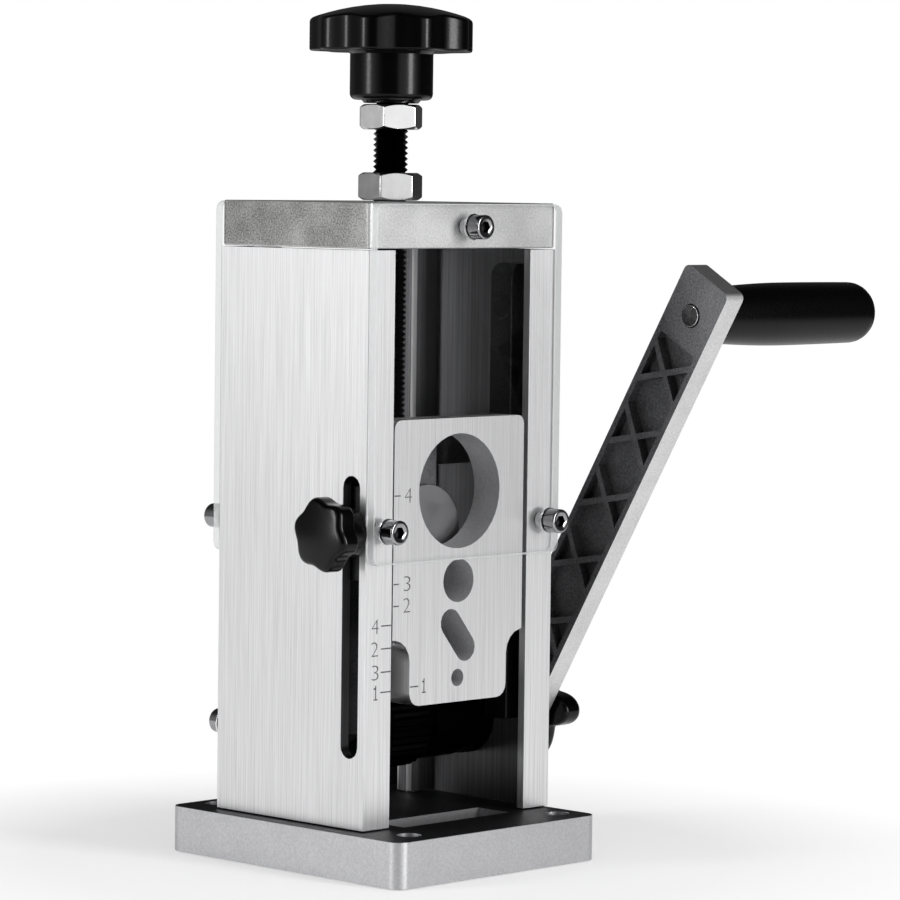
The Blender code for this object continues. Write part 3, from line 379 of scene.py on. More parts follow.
def smooth_metal(name, colour, roughness, mark_mm):
    """Plated or ground steel: nearly even, with faint cloudy marks in its gloss."""
    material, shader = new_material(name, colour, roughness, 1.0)
    coordinates = add_node(material, "ShaderNodeTexCoord")
    marks = add_node(
        material, "ShaderNodeTexNoise",
        inputs={"Scale": 1 / (mark_mm * MILLIMETRE), "Detail": 4.0},
        links={"Vector": (coordinates, "Object")},
    )
    apply_pattern(
        material, shader, (marks, "Fac"),
        gloss=(roughness - 0.04, roughness + 0.08), relief=(0.25, 0.05),
    )
    return material


def moulded_plastic(name, colour, roughness, grain_mm, relief, shine):
    """Moulded plastic: even colour with the mould's fine grain and a soft shine."""
    material, shader = new_material(name, colour, roughness, 0.0)
    shader.inputs["Specular IOR Level"].default_value = shine
    coordinates = add_node(material, "ShaderNodeTexCoord")
    grain = add_node(
        material, "ShaderNodeTexNoise",
        inputs={"Scale": 1 / (grain_mm * MILLIMETRE), "Detail": 2.0},
        links={"Vector": (coordinates, "Object")},
    )
    apply_pattern(
        material, shader, (grain, "Fac"),
        gloss=(roughness - 0.03, roughness + 0.05), relief=(relief, 0.03),
    )
    return material


def clear_acrylic():
    """Cast acrylic sheet: it hides nothing behind it and mirrors the room faintly in its face.

    Only the faces turned to the eye mirror, so nothing inside is seen twice.
    """
    material, shader = new_material("clear_acrylic_sheet", "#FFFFFF", 0.03, 1.0)
    passing = add_node(
        material, "ShaderNodeBsdfTransparent", inputs={"Color": linear("#FFFFFF")},
    )
    fresnel = add_node(material, "ShaderNodeFresnel", inputs={"IOR": 1.49})
    surface = add_node(material, "ShaderNodeNewGeometry")
    outer_face = add_node(
        material, "ShaderNodeMath", settings={"operation": "SUBTRACT"}, inputs={0: 1.0},
        links={1: (surface, "Backfacing")},
    )
    faint = add_node(
        material, "ShaderNodeMath", settings={"operation": "MULTIPLY"},
        links={0: (fresnel, "Fac"), 1: (outer_face, "Value")},
    )
    both = add_node(
        material, "ShaderNodeMixShader",
        links={"Fac": (faint, "Value"), 1: (passing, "BSDF"), 2: (shader, "BSDF")},
    )
    link(material, both, "Shader", material.node_tree.nodes["Material Output"], "Surface")
    return material


def sawn_acrylic_edge():
    """The sheet's sawn edges: frosted, so they catch the light as thin bright lines."""
    material, shader = new_material("sawn_acrylic_edge", "#F2F4F4", 0.35, 0.0)
    passing = add_node(
        material, "ShaderNodeBsdfTransparent", inputs={"Color": linear("#F8F9F9")},
    )
    both = add_node(
        material, "ShaderNodeMixShader", inputs={"Fac": FROST_SHARE},
        links={1: (passing, "BSDF"), 2: (shader, "BSDF")},
    )
    link(material, both, "Shader", material.node_tree.nodes["Material Output"], "Surface")
    return material


def engraved_ink():
    """Dark paint wiped into the engraved lines: matt, a little uneven."""
    material, shader = new_material("dark_engraving_paint", "#6B6B6C", 0.7, 0.0)
    coordinates = add_node(material, "ShaderNodeTexCoord")
    wear = add_node(
        material, "ShaderNodeTexNoise", inputs={"Scale": 1 / (PAINT_GRAIN_MM * MILLIMETRE)},
        links={"Vector": (coordinates, "Object")},
    )
    apply_pattern(material, shader, (wear, "Fac"), colours=("#3C3C3D", "#6A6A6B", 0.35, 0.7))
    return material


def mix_finishes():
    """Every finish of the tool, by the place it is used."""
    return {
        # Anodised extrusion, brushed upright: pale and even, with fine upright hair lines
        "column": brushed_metal(
            "brushed_anodised_aluminium", "#CDCDCE", "#E6E6E7", 0.42, 0.28, 0.12),
        # The same brushing on a thicker plate, a shade darker and glossier, so it stands out
        "plate": brushed_metal("brushed_gauge_plate", "#C6C6C7", "#DFDFE0", 0.40, 0.26, 0.12),
        # Dull grey with the die's broad lines, darkened as painted shade so the inside stays dim
        "inside": brushed_metal("extrusion_inside_painted_shade", "#5E5E60", "#707072", 0.45, 0.60, 0.05),
        # Milled parts deep in the column: painted near black as the shade they sit in, with a trace
        # of cutter grain
        "works": grained_metal("milled_aluminium_painted_shade", "#2E2E30", "#3E3E40", 0.50, 0.6, 0.10),
        # Milled, but nearer the light: painted a lighter shade, middle grey shapes behind the
        # window and the holes
        "carriage": grained_metal(
            "milled_carriage_painted_shade", "#68686A", "#7C7C7E", 0.50, 0.6, 0.10),
        # Reamed: a pale satin wall that takes an even light round each wire hole
        "bore": grained_metal(
            "reamed_hole_wall", "#C4C4C6", "#D8D8DA", 0.50, 0.6, 0.10, metallic=0.35),
        # Broken with a file and painted nearly white as a highlight: a thin line round the plate
        # and its holes
        "rim": grained_metal(
            "broken_edge_painted_highlight", "#F0F0F0", "#FAFAFA", 0.50, 0.6, 0.05, metallic=0.25),
        # Bead blasted: a bright, soft, finely pebbled cap
        "blasted": grained_metal(
            "bead_blasted_aluminium", "#D2D2D3", "#F2F2F2", 0.50, 0.45, 0.35),
        # The cap's sides are painted darker as shade, with coarser mottling
        "cap_side": grained_metal(
            "cap_side_painted_shade", "#70706F", "#B8B8B7", 0.50, 0.40, 0.45),
        # Satin edge of the base: smooth even grey, nearly without clouds
        "base": grained_metal("satin_base_edge", "#B8B8BA", "#C8C8CA", 0.42, 0.5, 0.06, cloud=0.2),
        # Painted dark as the dark ceiling's reflection: the top of the base reads as a dark frame
        # round the column
        "base_top": grained_metal(
            "base_top_painted_reflection", "#343436", "#444446", 0.50, 0.5, 0.12),
        # Die cast and tumbled: the arm's edges are pale with a light cast grain
        "cast": grained_metal("die_cast_arm_edge", "#D8D8D9", "#EEEEEE", 0.45, 0.45, 0.20),
        # Rough and darker on the arm's inner face, in its pockets and on its ribs
        "recess": grained_metal("dark_cast_recess", "#606062", "#868688", 0.55, 0.5, 0.25),
        # Zinc plated and bright: sharp light and dark bands on nuts and washers
        "plated": smooth_metal("bright_zinc_plate", "#EAEAEB", 0.13, 3.0),
        # Dark chrome: small crisp glints on the screw heads
        "chrome": smooth_metal("dark_chrome_screw", "#A6A6A8", 0.10, 1.5),
        # The bottom of a hexagon socket, where no light reaches: painted nearly black as shade
        "socket": smooth_metal("socket_bottom_painted_shade", "#1C1C1E", 0.40, 2.0),
        # Black oxide: the thread and the roller stay black with a faint oily sheen
        "oxide": smooth_metal("black_oxide_steel", "#050506", 0.36, 2.0),
        # Plain sheet steel: a dull, soft grey shield
        "shield": smooth_metal("dull_steel_shield", "#8C8C8E", 0.45, 4.0),
        # Ground steel: a clean middle grey disc with a soft mirror
        "blade": smooth_metal("ground_blade_steel", "#7C7D80", 0.26, 2.0),
        # Its honed edge: a bright ring
        "bevel": smooth_metal("polished_blade_bevel", "#E8E9EB", 0.30, 2.0),
        # Phenolic, moulded glossy: deep black with thin sharp highlights
        "knob": moulded_plastic("gloss_black_phenolic", "#030303", 0.18, 0.5, 0.04, 0.25),
        # Plastic with a satin mould: black with one broader, softer highlight
        "grip": moulded_plastic("satin_black_grip", "#030303", 0.26, 0.5, 0.06, 0.22),
        "clear": clear_acrylic(),
        "clear_edge": sawn_acrylic_edge(),
        "ink": engraved_ink(),
    }


# Modelling helpers


def deselect_all():
    bpy.ops.object.select_all(action="DESELECT")


def make_active(piece):
    deselect_all()
    piece.select_set(True)
    bpy.context.view_layer.objects.active = piece


def apply_modifiers(piece):
    make_active(piece)
    for modifier in list(piece.modifiers):
        bpy.ops.object.modifier_apply(modifier=modifier.name)


def apply_place(piece):
    make_active(piece)
    bpy.ops.object.transform_apply(location=True, rotation=True, scale=True)


def smooth(piece, angle=35):
    """Smooth shading that keeps the large faces flat beside their rounded edges."""
    make_active(piece)
    bpy.ops.object.shade_smooth_by_angle(angle=math.radians(angle))
    weighted = piece.modifiers.new("flat_faces", "WEIGHTED_NORMAL")
    weighted.keep_sharp = True
    apply_modifiers(piece)


def round_edges(piece, width, segments=2, angle=30):
    """Rounds every edge that is sharper than the angle in degrees."""
    bevel = piece.modifiers.new("edges", "BEVEL")
    bevel.width = width
    bevel.segments = segments
    bevel.limit_method = "ANGLE"
    bevel.angle_limit = math.radians(angle)
    apply_modifiers(piece)


def set_materials(piece, *materials):
    piece.data.materials.clear()
    for material in materials:
        piece.data.materials.append(material)


def stand_in(piece, node_name, slot, *materials):
    """The piece takes the place of a CAD node and moves with the same body."""
    set_materials(piece, *materials)
    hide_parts(node_name)
    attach(piece, nodes[node_name]["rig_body"])
    return piece


def finished_copy(node_name, edge_width, slot, *materials):
    """A copy of a CAD node with its triangles merged into faces and its edges rounded."""
    piece = bpy.data.objects.new(node_name + "_finished", nodes[node_name].data.copy())
    bpy.context.scene.collection.objects.link(piece)
    make_active(piece)
    bpy.ops.object.mode_set(mode="EDIT")
    bpy.ops.mesh.select_all(action="SELECT")
    bpy.ops.mesh.remove_doubles(threshold=NODE_MERGE)
    bpy.ops.mesh.dissolve_limited(angle_limit=FLAT_ANGLE)
    bpy.ops.object.mode_set(mode="OBJECT")
    round_edges(piece, edge_width)
    smooth(piece)
    return stand_in(piece, node_name, slot, *materials)


def finish_all(edge_width, slot, material, *names):
    for name in names:
        finished_copy(name, edge_width, slot, material)


def paint_faces(piece, index, test):
    """Gives the faces that pass the test another of the piece's materials."""
    for face in piece.data.polygons:
        if test(face.center, face.normal):
            face.material_index = index


def round_outline(angle):
    """A plain circle: the same share of the radius at every angle."""
    return 1.0


def lobed(lobes, depth, turn):
    """An outline with smooth finger lobes, as a share of the radius at each angle."""
    def share(angle):
        return 1 - depth * math.sin(lobes * (angle - turn) / 2) ** 2
    return share


def hexagonal(angle):
    """A hexagon by its corner radius."""
    sixth = math.pi / 3
    return math.cos(sixth / 2) / math.cos(angle % sixth - sixth / 2)


def move_ring(piece, radius, height, outline):
    """Sets the selected ring to its radius and height; the height may depend on the radius."""
    shape = bmesh.from_edit_mesh(piece.data)
    for vertex in shape.verts:
        if vertex.select:
            angle = math.atan2(vertex.co.y, vertex.co.x)
            reach = radius * outline(angle)
            rise = height(reach) if callable(height) else height
            vertex.co = (reach * math.cos(angle), reach * math.sin(angle), rise)
    bmesh.update_edit_mesh(piece.data)


def draw_rings(name, rings, segments, place, turn, hollow=False):
    """A closed solid: a round face extruded ring by ring along its axis, each ring then shaped.

    A hollow one starts as an open ring, and its last ring meets the first.
    """
    deselect_all()
    bpy.ops.mesh.primitive_circle_add(
        vertices=segments, radius=rings[0][0], fill_type="NOTHING" if hollow else "NGON",
        location=place, rotation=turn,
    )
    piece = bpy.context.object
    piece.name = name
    piece.data.name = name
    bpy.ops.object.mode_set(mode="EDIT")
    bpy.ops.mesh.select_all(action="SELECT")
    move_ring(piece, *rings[0])
    for ring in rings[1:]:
        bpy.ops.mesh.extrude_region_move()
        move_ring(piece, *ring)
    bpy.ops.mesh.select_all(action="SELECT")
    bpy.ops.mesh.remove_doubles(threshold=PIECE_MERGE)
    bpy.ops.mesh.normals_make_consistent(inside=False)
    bpy.ops.object.mode_set(mode="OBJECT")
    apply_place(piece)
    return piece


def quarter_round(radius, height, round_radius, outline, steps, rising):
    """Rings round an outer edge: from side to top where rising, or else from bottom to side."""
    rings = []
    for step in range(steps + 1):
        angle = math.pi / 2 * step / steps
        if rising:
            rings.append((
                radius - round_radius * (1 - math.cos(angle)),
                height - round_radius * (1 - math.sin(angle)), outline,
            ))
        else:
            rings.append((
                radius - round_radius * (1 - math.sin(angle)),
                height + round_radius * (1 - math.cos(angle)), outline,
            ))
    return rings


# Pieces modelled anew


def build_threaded_rod(material):
    """The adjusting rod: a V wound up in a helix, then cut square at both ends."""
    low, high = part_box("adjusting_rod")
    crest = (high[0] - low[0]) / 2
    root = crest - THREAD_DEPTH
    start = low[2] - THREAD_SPARE_TURNS * THREAD_PITCH
    turns = int((high[2] - low[2]) / THREAD_PITCH) + 2 * THREAD_SPARE_TURNS + 1
    deselect_all()
    bpy.ops.mesh.primitive_circle_add(vertices=3, radius=THREAD_PITCH)
    rod = bpy.context.object
    rod.name = "threaded_rod"
    corners = ((root, start), (crest, start + THREAD_PITCH / 2), (root, start + THREAD_PITCH))
    bpy.ops.object.mode_set(mode="EDIT")
    shape = bmesh.from_edit_mesh(rod.data)
    for vertex, (radius, height) in zip(list(shape.verts), corners):
        vertex.co = (radius, 0, height)
    # The V's open side, at the root, goes
    for edge in shape.edges:
        edge.select = all(abs(vertex.co.x - root) < root / 100 for vertex in edge.verts)
    bmesh.update_edit_mesh(rod.data)
    bpy.ops.mesh.delete(type="EDGE")
    bpy.ops.object.mode_set(mode="OBJECT")
    winding = rod.modifiers.new("winding", "SCREW")
    winding.axis = "Z"
    winding.screw_offset = THREAD_PITCH
    winding.iterations = turns
    winding.steps = THREAD_SEGMENTS
    winding.render_steps = THREAD_SEGMENTS
    apply_modifiers(rod)
    bpy.ops.object.mode_set(mode="EDIT")
    bpy.ops.mesh.select_all(action="SELECT")
    bpy.ops.mesh.remove_doubles(threshold=THREAD_MERGE)
    for height, above in ((low[2], False), (high[2], True)):
        bpy.ops.mesh.select_all(action="SELECT")
        bpy.ops.mesh.bisect(
            plane_co=(0, 0, height), plane_no=(0, 0, 1), use_fill=True,
            clear_inner=not above, clear_outer=above,
        )
    bpy.ops.mesh.select_all(action="SELECT")
    bpy.ops.mesh.normals_make_consistent(inside=False)
    bpy.ops.object.mode_set(mode="OBJECT")
    smooth(rod, angle=25)
    stand_in(rod, "adjusting_rod", "black_steel", material)


def build_nut(node_name, turn, material):
    """A hexagon nut turned to a cone above and below, so each flat ends in an arc."""
    low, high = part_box(node_name)
    rod_low, rod_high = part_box("adjusting_rod")
    bore = (rod_high[0] - rod_low[0]) / 2 + THREAD_CLEARANCE

    def drop(reach):
        return max(0.0, reach - NUT_FACE_RADIUS) * math.tan(NUT_CONE)

    foot = (NUT_CORNER_RADIUS, lambda reach: low[2] + drop(reach), hexagonal)
    rings = [
        foot,
        (NUT_CORNER_RADIUS, lambda reach: high[2] - drop(reach), hexagonal),
        (NUT_FACE_RADIUS, high[2], round_outline),
        (bore, high[2], round_outline),
        (bore, low[2], round_outline),
        (NUT_FACE_RADIUS, low[2], round_outline),
        foot,
    ]
    nut = draw_rings(
        node_name + "_turned", rings, NUT_SEGMENTS, (0, 0, 0), (0, 0, turn), hollow=True,
    )
    round_edges(nut, TURNED_EDGE, angle=24)
    smooth(nut, angle=22)
    stand_in(nut, node_name, "plated_steel", material)


def build_top_knob(material):
    """The large knob in one moulding: neck, hub, lobed rim and a wide dome."""
    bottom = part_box("top_knob")[0][2]
    neck_top = bottom + KNOB_NECK_HEIGHT
    rim_bottom = neck_top + KNOB_HUB_HEIGHT
    dome_edge = rim_bottom + KNOB_RIM_HEIGHT
    dome_top = dome_edge + KNOB_DOME_HEIGHT
    lobes = lobed(KNOB_LOBES, KNOB_LOBE_DEPTH, KNOB_TURN)
    edge = KNOB_EDGE

    def on_dome(reach):
        return dome_top - KNOB_DOME_HEIGHT * (reach / KNOB_RIM_RADIUS) ** 2

    rings = [
        (KNOB_NECK_RADIUS, bottom, round_outline),
        (KNOB_NECK_RADIUS + edge, neck_top, round_outline),
    ]
    rings += quarter_round(
        KNOB_HUB_RADIUS, neck_top, KNOB_HUB_ROUND, round_outline, steps=5, rising=False,
    )
    rings += [
        (KNOB_HUB_RADIUS, rim_bottom - edge, round_outline),
        (KNOB_HUB_RADIUS + edge, rim_bottom, round_outline),
    ]
    rings += quarter_round(KNOB_RIM_RADIUS, rim_bottom, edge, lobes, steps=4, rising=False)
    # The rim's upper edge is broken in two steps
    rings += [
        (KNOB_RIM_RADIUS, lambda reach: on_dome(reach) - edge, lobes),
        (KNOB_RIM_RADIUS - edge * 0.3, lambda reach: on_dome(reach) - edge * 0.3, lobes),
        (KNOB_RIM_RADIUS - edge, on_dome, lobes),
    ]
    # The lobes fade out half way up the dome
    for share in KNOB_DOME_RINGS:
        fade = lobed(KNOB_LOBES, KNOB_LOBE_DEPTH * max(0.0, share * 2 - 1), KNOB_TURN)
        rings.append((KNOB_RIM_RADIUS * share, on_dome, fade))
    knob = draw_rings("top_knob_moulding", rings, KNOB_SEGMENTS, (0, 0, 0), (0, 0, 0))
    smooth(knob, angle=40)
    stand_in(knob, "top_knob", "black_plastic", material)


def build_small_knob(node_name, place, turn, material, hub, head, dome, edge, lobes):
    """A small lobed knob on its own axis: a round hub, then a head with a domed face."""
    hub_radius, hub_length = hub
    head_radius, head_length = head
    count, depth, crest = lobes
    outline = lobed(count, depth, crest)
    top = hub_length + head_length

    def on_crown(reach):
        return top + dome * (1 - (reach / head_radius) ** 2)

    rings = [(hub_radius * wide, hub_length * along, round_outline) for wide, along in HUB_PROFILE]
    rings += quarter_round(
        head_radius, hub_length, edge * UNDERSIDE_ROUND, outline, steps=4, rising=False,
    )
    for step in range(SMALL_KNOB_STEPS + 1):
        angle = math.pi / 2 * step / SMALL_KNOB_STEPS
        sink = edge * (1 - math.sin(angle))
        rings.append((
            head_radius - edge * (1 - math.cos(angle)),
            lambda reach, sink=sink: on_crown(reach) - sink, outline,
        ))
    for share in SMALL_DOME_RINGS:
        rings.append((head_radius * share, on_crown, lobed(count, depth * share, crest)))
    knob = draw_rings(node_name + "_moulding", rings, SMALL_KNOB_SEGMENTS, place, turn)
    smooth(knob, angle=45)
    stand_in(knob, node_name, "black_plastic", material)


def grip_radius(share):
    """The grip's turned shape: slim at the arm, full near the middle, a little slimmer after it."""
    if share < GRIP_BELLY_SHARE:
        swell = math.sin(math.pi / 2 * share / GRIP_BELLY_SHARE)
        return GRIP_NECK_RADIUS + (GRIP_BELLY_RADIUS - GRIP_NECK_RADIUS) * swell
    past = (share - GRIP_BELLY_SHARE) / (1 - GRIP_BELLY_SHARE)
    return GRIP_BELLY_RADIUS - (GRIP_BELLY_RADIUS - GRIP_END_RADIUS) * past ** 2


def build_grip(material):
    """The barrel grip with its round end."""
    low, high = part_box("crank_grip")
    length = high[0] - low[0]
    foot = (low[0], (low[1] + high[1]) / 2, (low[2] + high[2]) / 2)
    rings = quarter_round(GRIP_NECK_RADIUS, 0, GRIP_EDGE, round_outline, steps=3, rising=False)
    straight = length - GRIP_END_ROUND
    for step in range(1, GRIP_STEPS + 1):
        height = GRIP_EDGE + (straight - GRIP_EDGE) * step / GRIP_STEPS
        rings.append((grip_radius(height / length), height, round_outline))
    end_radius = rings[-1][0]
    for step in range(1, GRIP_END_STEPS + 1):
        angle = math.pi / 2 * step / GRIP_END_STEPS * GRIP_END_SWEEP
        rings.append((
            end_radius * math.cos(angle), straight + GRIP_END_ROUND * math.sin(angle),
            round_outline,
        ))
    grip = draw_rings(
        "crank_grip_sleeve", rings, GRIP_SEGMENTS, foot, (math.pi / 2, 0, math.pi / 2),
    )
    smooth(grip, angle=40)
    stand_in(grip, "crank_grip", "grip_plastic", material)


def build_socket_screw(node_name, outward, *materials):
    """A socket screw: shank, round head with a broken edge, and a hexagon socket with painted shade
    inside.
    """
    low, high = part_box(node_name)
    head = (high[2] - low[2]) / 2
    length = high[1] - low[1]
    head_bottom = length - HEAD_LENGTH
    rings = [
        (SHANK_RADIUS, 0, round_outline),
        (SHANK_RADIUS, head_bottom, round_outline),
        (head - HEAD_EDGE, head_bottom, round_outline),
        (head, head_bottom + HEAD_EDGE, round_outline),
    ]
    rings += quarter_round(head, length, HEAD_ROUND, round_outline, steps=4, rising=True)
    rings += [
        (SOCKET_RADIUS * SOCKET_MOUTH_SHARE, length, round_outline),
        (SOCKET_RADIUS, length - SOCKET_MOUTH_DEPTH, hexagonal),
        (SOCKET_RADIUS, length - SOCKET_DEPTH, hexagonal),
        (SOCKET_RADIUS * SOCKET_POINT_SHARE, length - SOCKET_POINT_DEPTH, hexagonal),
    ]
    start, face = (high[1], low[1]) if outward < 0 else (low[1], high[1])
    axis_x = (low[0] + high[0]) / 2
    axis_z = (low[2] + high[2]) / 2
    screw = draw_rings(
        node_name + "_detailed", rings, SCREW_SEGMENTS, (axis_x, start, axis_z),
        (math.pi / 2, 0, 0 if outward < 0 else math.pi),
    )
    smooth(screw)
    stand_in(screw, node_name, "plated_steel", *materials)
    # Faces deep in the socket take the painted shade
    paint_faces(screw, 1, lambda centre, normal: (
        SOCKET_MOUTH_DEPTH < abs(centre.y - face) < HEAD_LENGTH
        and math.hypot(centre.x - axis_x, centre.z - axis_z) < SOCKET_RADIUS
    ))


def add_bar(name, left, right, bottom, top):
    """One straight engraved line on a front face."""
    deselect_all()
    bpy.ops.mesh.primitive_cube_add(
        size=1, scale=(right - left, MARK_THICKNESS, top - bottom),
        location=((left + right) / 2, -COLUMN_HALF_DEPTH - MARK_LIFT, (bottom + top) / 2),
    )
    bar = bpy.context.object
    bar.name = name
    apply_place(bar)
    round_edges(bar, MARK_THICKNESS / 3, segments=1)
    return bar


def add_one(name, middle, height):
    """The digit 1 in three straight lines: stem, foot and flag."""
    half = DIGIT_SIZE[1] / 2
    line = TICK_WIDTH / 2
    reach = 2 * TICK_WIDTH
    foot_top = height - half + TICK_WIDTH
    flag_bottom, flag_top = (height + half * share for share in FLAG_SHARES)
    bars = [
        add_bar(name, middle - line, middle + line, foot_top, height + half),
        add_bar(name + "_foot", middle - reach, middle + reach, height - half, foot_top),
        add_bar(name + "_flag", middle - reach, middle - line, flag_bottom, flag_top),
    ]
    make_active(bars[0])
    for bar in bars:
        bar.select_set(True)
    bpy.ops.object.join()
    return bpy.context.object


def add_digit(name, digit, middle, height):
    """One engraved digit of the scale, drawn thin and facing the front."""
    if digit == "1":
        return add_one(name, middle, height)
    deselect_all()
    bpy.ops.object.text_add(location=(0, 0, 0))
    text = bpy.context.object
    text.data.body = digit
    text.data.size = DIGIT_SIZE[1]
    text.data.offset = -DIGIT_THINNING * DIGIT_SIZE[1]
    text.data.extrude = MARK_THICKNESS / 2
    text.data.align_x = "CENTER"
    text.data.align_y = "CENTER"
    text.name = name
    bpy.ops.object.convert(target="MESH")
    mark = bpy.context.object
    wide, tall = mark.dimensions[0], mark.dimensions[1]
    corners = [vertex.co for vertex in mark.data.vertices]
    centre_x = (min(corner.x for corner in corners) + max(corner.x for corner in corners)) / 2
    centre_y = (min(corner.y for corner in corners) + max(corner.y for corner in corners)) / 2
    mark.data.transform(Matrix.Translation((-centre_x, -centre_y, 0)))
    mark.scale = (DIGIT_SIZE[0] / wide, DIGIT_SIZE[1] / tall, 1)
    mark.rotation_euler = (math.pi / 2, 0, 0)
    mark.location = (middle, -COLUMN_HALF_DEPTH - MARK_LIFT, height)
    apply_place(mark)
    bpy.ops.object.mode_set(mode="EDIT")
    bpy.ops.mesh.select_all(action="SELECT")
    bpy.ops.mesh.remove_doubles(threshold=PIECE_MERGE)
    bpy.ops.mesh.normals_make_consistent(inside=False)
    bpy.ops.object.mode_set(mode="OBJECT")
    return mark


def engrave_scales(material):
    for where, scale, body in (("plate", PLATE_SCALE, "gauge"), ("column", COLUMN_SCALE, "stand")):
        for digit, height, left, right, middle in scale:
            label = where + "_mark_" + digit
            level = height * MILLIMETRE
            tick = add_bar(
                label + "_tick", left * MILLIMETRE, right * MILLIMETRE, level - TICK_WIDTH / 2,
                level + TICK_WIDTH / 2,
            )
            number = add_digit(label + "_number", digit, middle * MILLIMETRE, level)
            for mark in (tick, number):
                set_materials(mark, material)
                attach(mark, body)


# Pieces finished from their solids: which faces of each get its second or third material


def inside_column(centre, normal):
    """All but the brushed faces, which are the outer sides and the free edges of the lips."""
    reach = 0.5 * MILLIMETRE
    brushed = (
        abs(centre.x) > COLUMN_HALF_WIDTH - reach
        or abs(centre.y) > COLUMN_HALF_DEPTH - reach
        or abs(abs(centre.x) - LIP_EDGE) < reach
    )
    return not brushed


def in_arm_recess(centre, normal):
    """Faces on the arm's inner side: its face, the ribs and the pockets."""
    along_y = -math.sin(CRANK_LEAN)
    along_z = math.cos(CRANK_LEAN)
    y = centre.y
    z = centre.z - SHAFT_HEIGHT
    along = y * along_y + z * along_z
    across = abs(y * along_z - z * along_y)
    inset = 0.45 * MILLIMETRE
    inside = across < ARM_WIDTH / 2 - inset and along < CRANK_LENGTH + ARM_END_REACH - inset
    return inside and centre.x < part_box("crank_arm")[0][0] + ARM_POCKET_DEPTH + inset


def in_wire_hole(centre, normal):
    """Walls of the gauge plate's wire holes: inside its outline and square to its face."""
    low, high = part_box("gauge_plate")
    inset = 2.0 * MILLIMETRE
    in_width = low[0] + inset < centre.x < high[0] - inset
    in_height = low[2] + inset < centre.z < high[2] - inset
    in_notch = abs(centre.x) > WIRE_HOLE_REACH and centre.z < NOTCH_TOP
    return in_width and in_height and not in_notch and abs(normal.y) < 0.9


def on_broken_edge(centre, normal):
    """The sloping faces round the front of the gauge plate and its holes."""
    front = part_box("gauge_plate")[0][1]
    return 0.15 < -normal.y < 0.97 and centre.y < front + 1.0 * MILLIMETRE


def on_cap_side(centre, normal):
    return abs(normal.x) > 0.9


def on_base_top(centre, normal):
    """The flat top; the rounded edge round it stays bright."""
    return normal.z > 0.9


def on_sheet_edge(centre, normal):
    return abs(normal.y) < 0.95


def on_ground_bevel(centre, normal):
    return 0.2 < abs(normal.x) < 0.98


# Stage, lamps and camera


def mirrored_walls(material, source, output):
    """How bright the studio's walls are in a mirror, all the way round."""
    parts = add_node(material, "ShaderNodeSeparateXYZ", links={"Vector": (source, output)})
    bearing = add_node(
        material, "ShaderNodeMath", settings={"operation": "ARCTAN2"},
        links={0: (parts, "Y"), 1: (parts, "X")},
    )
    round_share = add_node(
        material, "ShaderNodeMapRange", inputs={"From Min": -math.pi, "From Max": math.pi},
        links={"Value": (bearing, "Value")},
    )
    ramp = add_node(material, "ShaderNodeValToRGB", links={"Fac": (round_share, "Result")})
    stops = ramp.color_ramp.elements
    for degrees, strength in STUDIO_WALLS[1:-1]:
        stops.new((degrees + 180) / 360)
    for stop, (degrees, strength) in zip(stops, STUDIO_WALLS):
        stop.color = (strength, strength, strength, 1)
    return ramp


def build_stage():
    """A pale floor that keeps the shadow near the object and turns white round it."""
    deselect_all()
    bpy.ops.mesh.primitive_plane_add(size=FLOOR_SIZE, location=(0, 0, FLOOR_HEIGHT))
    floor = bpy.context.object
    floor.name = "floor"
    material, shader = new_material("pale_floor", "#F2F2F2", 0.9, 0.0)
    shader.inputs["Specular IOR Level"].default_value = 0.0
    glow = add_node(
        material, "ShaderNodeEmission",
        inputs={"Color": linear("#FFFFFF"), "Strength": FLOOR_GLOW},
    )
    near = add_node(
        material, "ShaderNodeAddShader", links={0: (shader, "BSDF"), 1: (glow, "Emission")},
    )
    coordinates = add_node(material, "ShaderNodeTexCoord")
    path = add_node(material, "ShaderNodeLightPath")
    walls = mirrored_walls(material, coordinates, "Object")
    distance = add_node(
        material, "ShaderNodeVectorMath", settings={"operation": "LENGTH"},
        links={0: (coordinates, "Object")},
    )
    away = add_node(
        material, "ShaderNodeMapRange",
        inputs={"From Min": SHADOW_ZONE[0], "From Max": SHADOW_ZONE[1]},
        links={"Value": (distance, "Value")},
    )
    far = add_node(
        material, "ShaderNodeMapRange",
        inputs={"From Min": MIRROR_ZONE[0], "From Max": MIRROR_ZONE[1], "To Min": MIRROR_START},
        links={"Value": (distance, "Value")},
    )
    in_mirror = add_node(
        material, "ShaderNodeMath", settings={"operation": "MULTIPLY"},
        links={0: (far, "Result"), 1: (path, "Is Glossy Ray")},
    )
    strength = add_node(
        material, "ShaderNodeMix", settings={"data_type": "FLOAT"}, inputs={"A": 1.0},
        links={"Factor": (in_mirror, "Value"), "B": (walls, "Color")},
    )
    white = add_node(
        material, "ShaderNodeEmission", inputs={"Color": linear("#FFFFFF")},
        links={"Strength": (strength, "Result")},
    )
    seen = add_node(
        material, "ShaderNodeMixShader",
        links={"Fac": (away, "Result"), 1: (near, "Shader"), 2: (white, "Emission")},
    )
    glossy = add_node(
        material, "ShaderNodeMath", settings={"operation": "MAXIMUM"},
        links={0: (path, "Is Camera Ray"), 1: (path, "Is Glossy Ray")},
    )
    direct = add_node(
        material, "ShaderNodeMath", settings={"operation": "MAXIMUM"},
        links={0: (glossy, "Value"), 1: (path, "Is Transmission Ray")},
    )
    final = add_node(
        material, "ShaderNodeMixShader",
        links={"Fac": (direct, "Value"), 1: (shader, "BSDF"), 2: (seen, "Shader")},
    )
    link(material, final, "Shader", material.node_tree.nodes["Material Output"], "Surface")
    floor.data.materials.append(material)


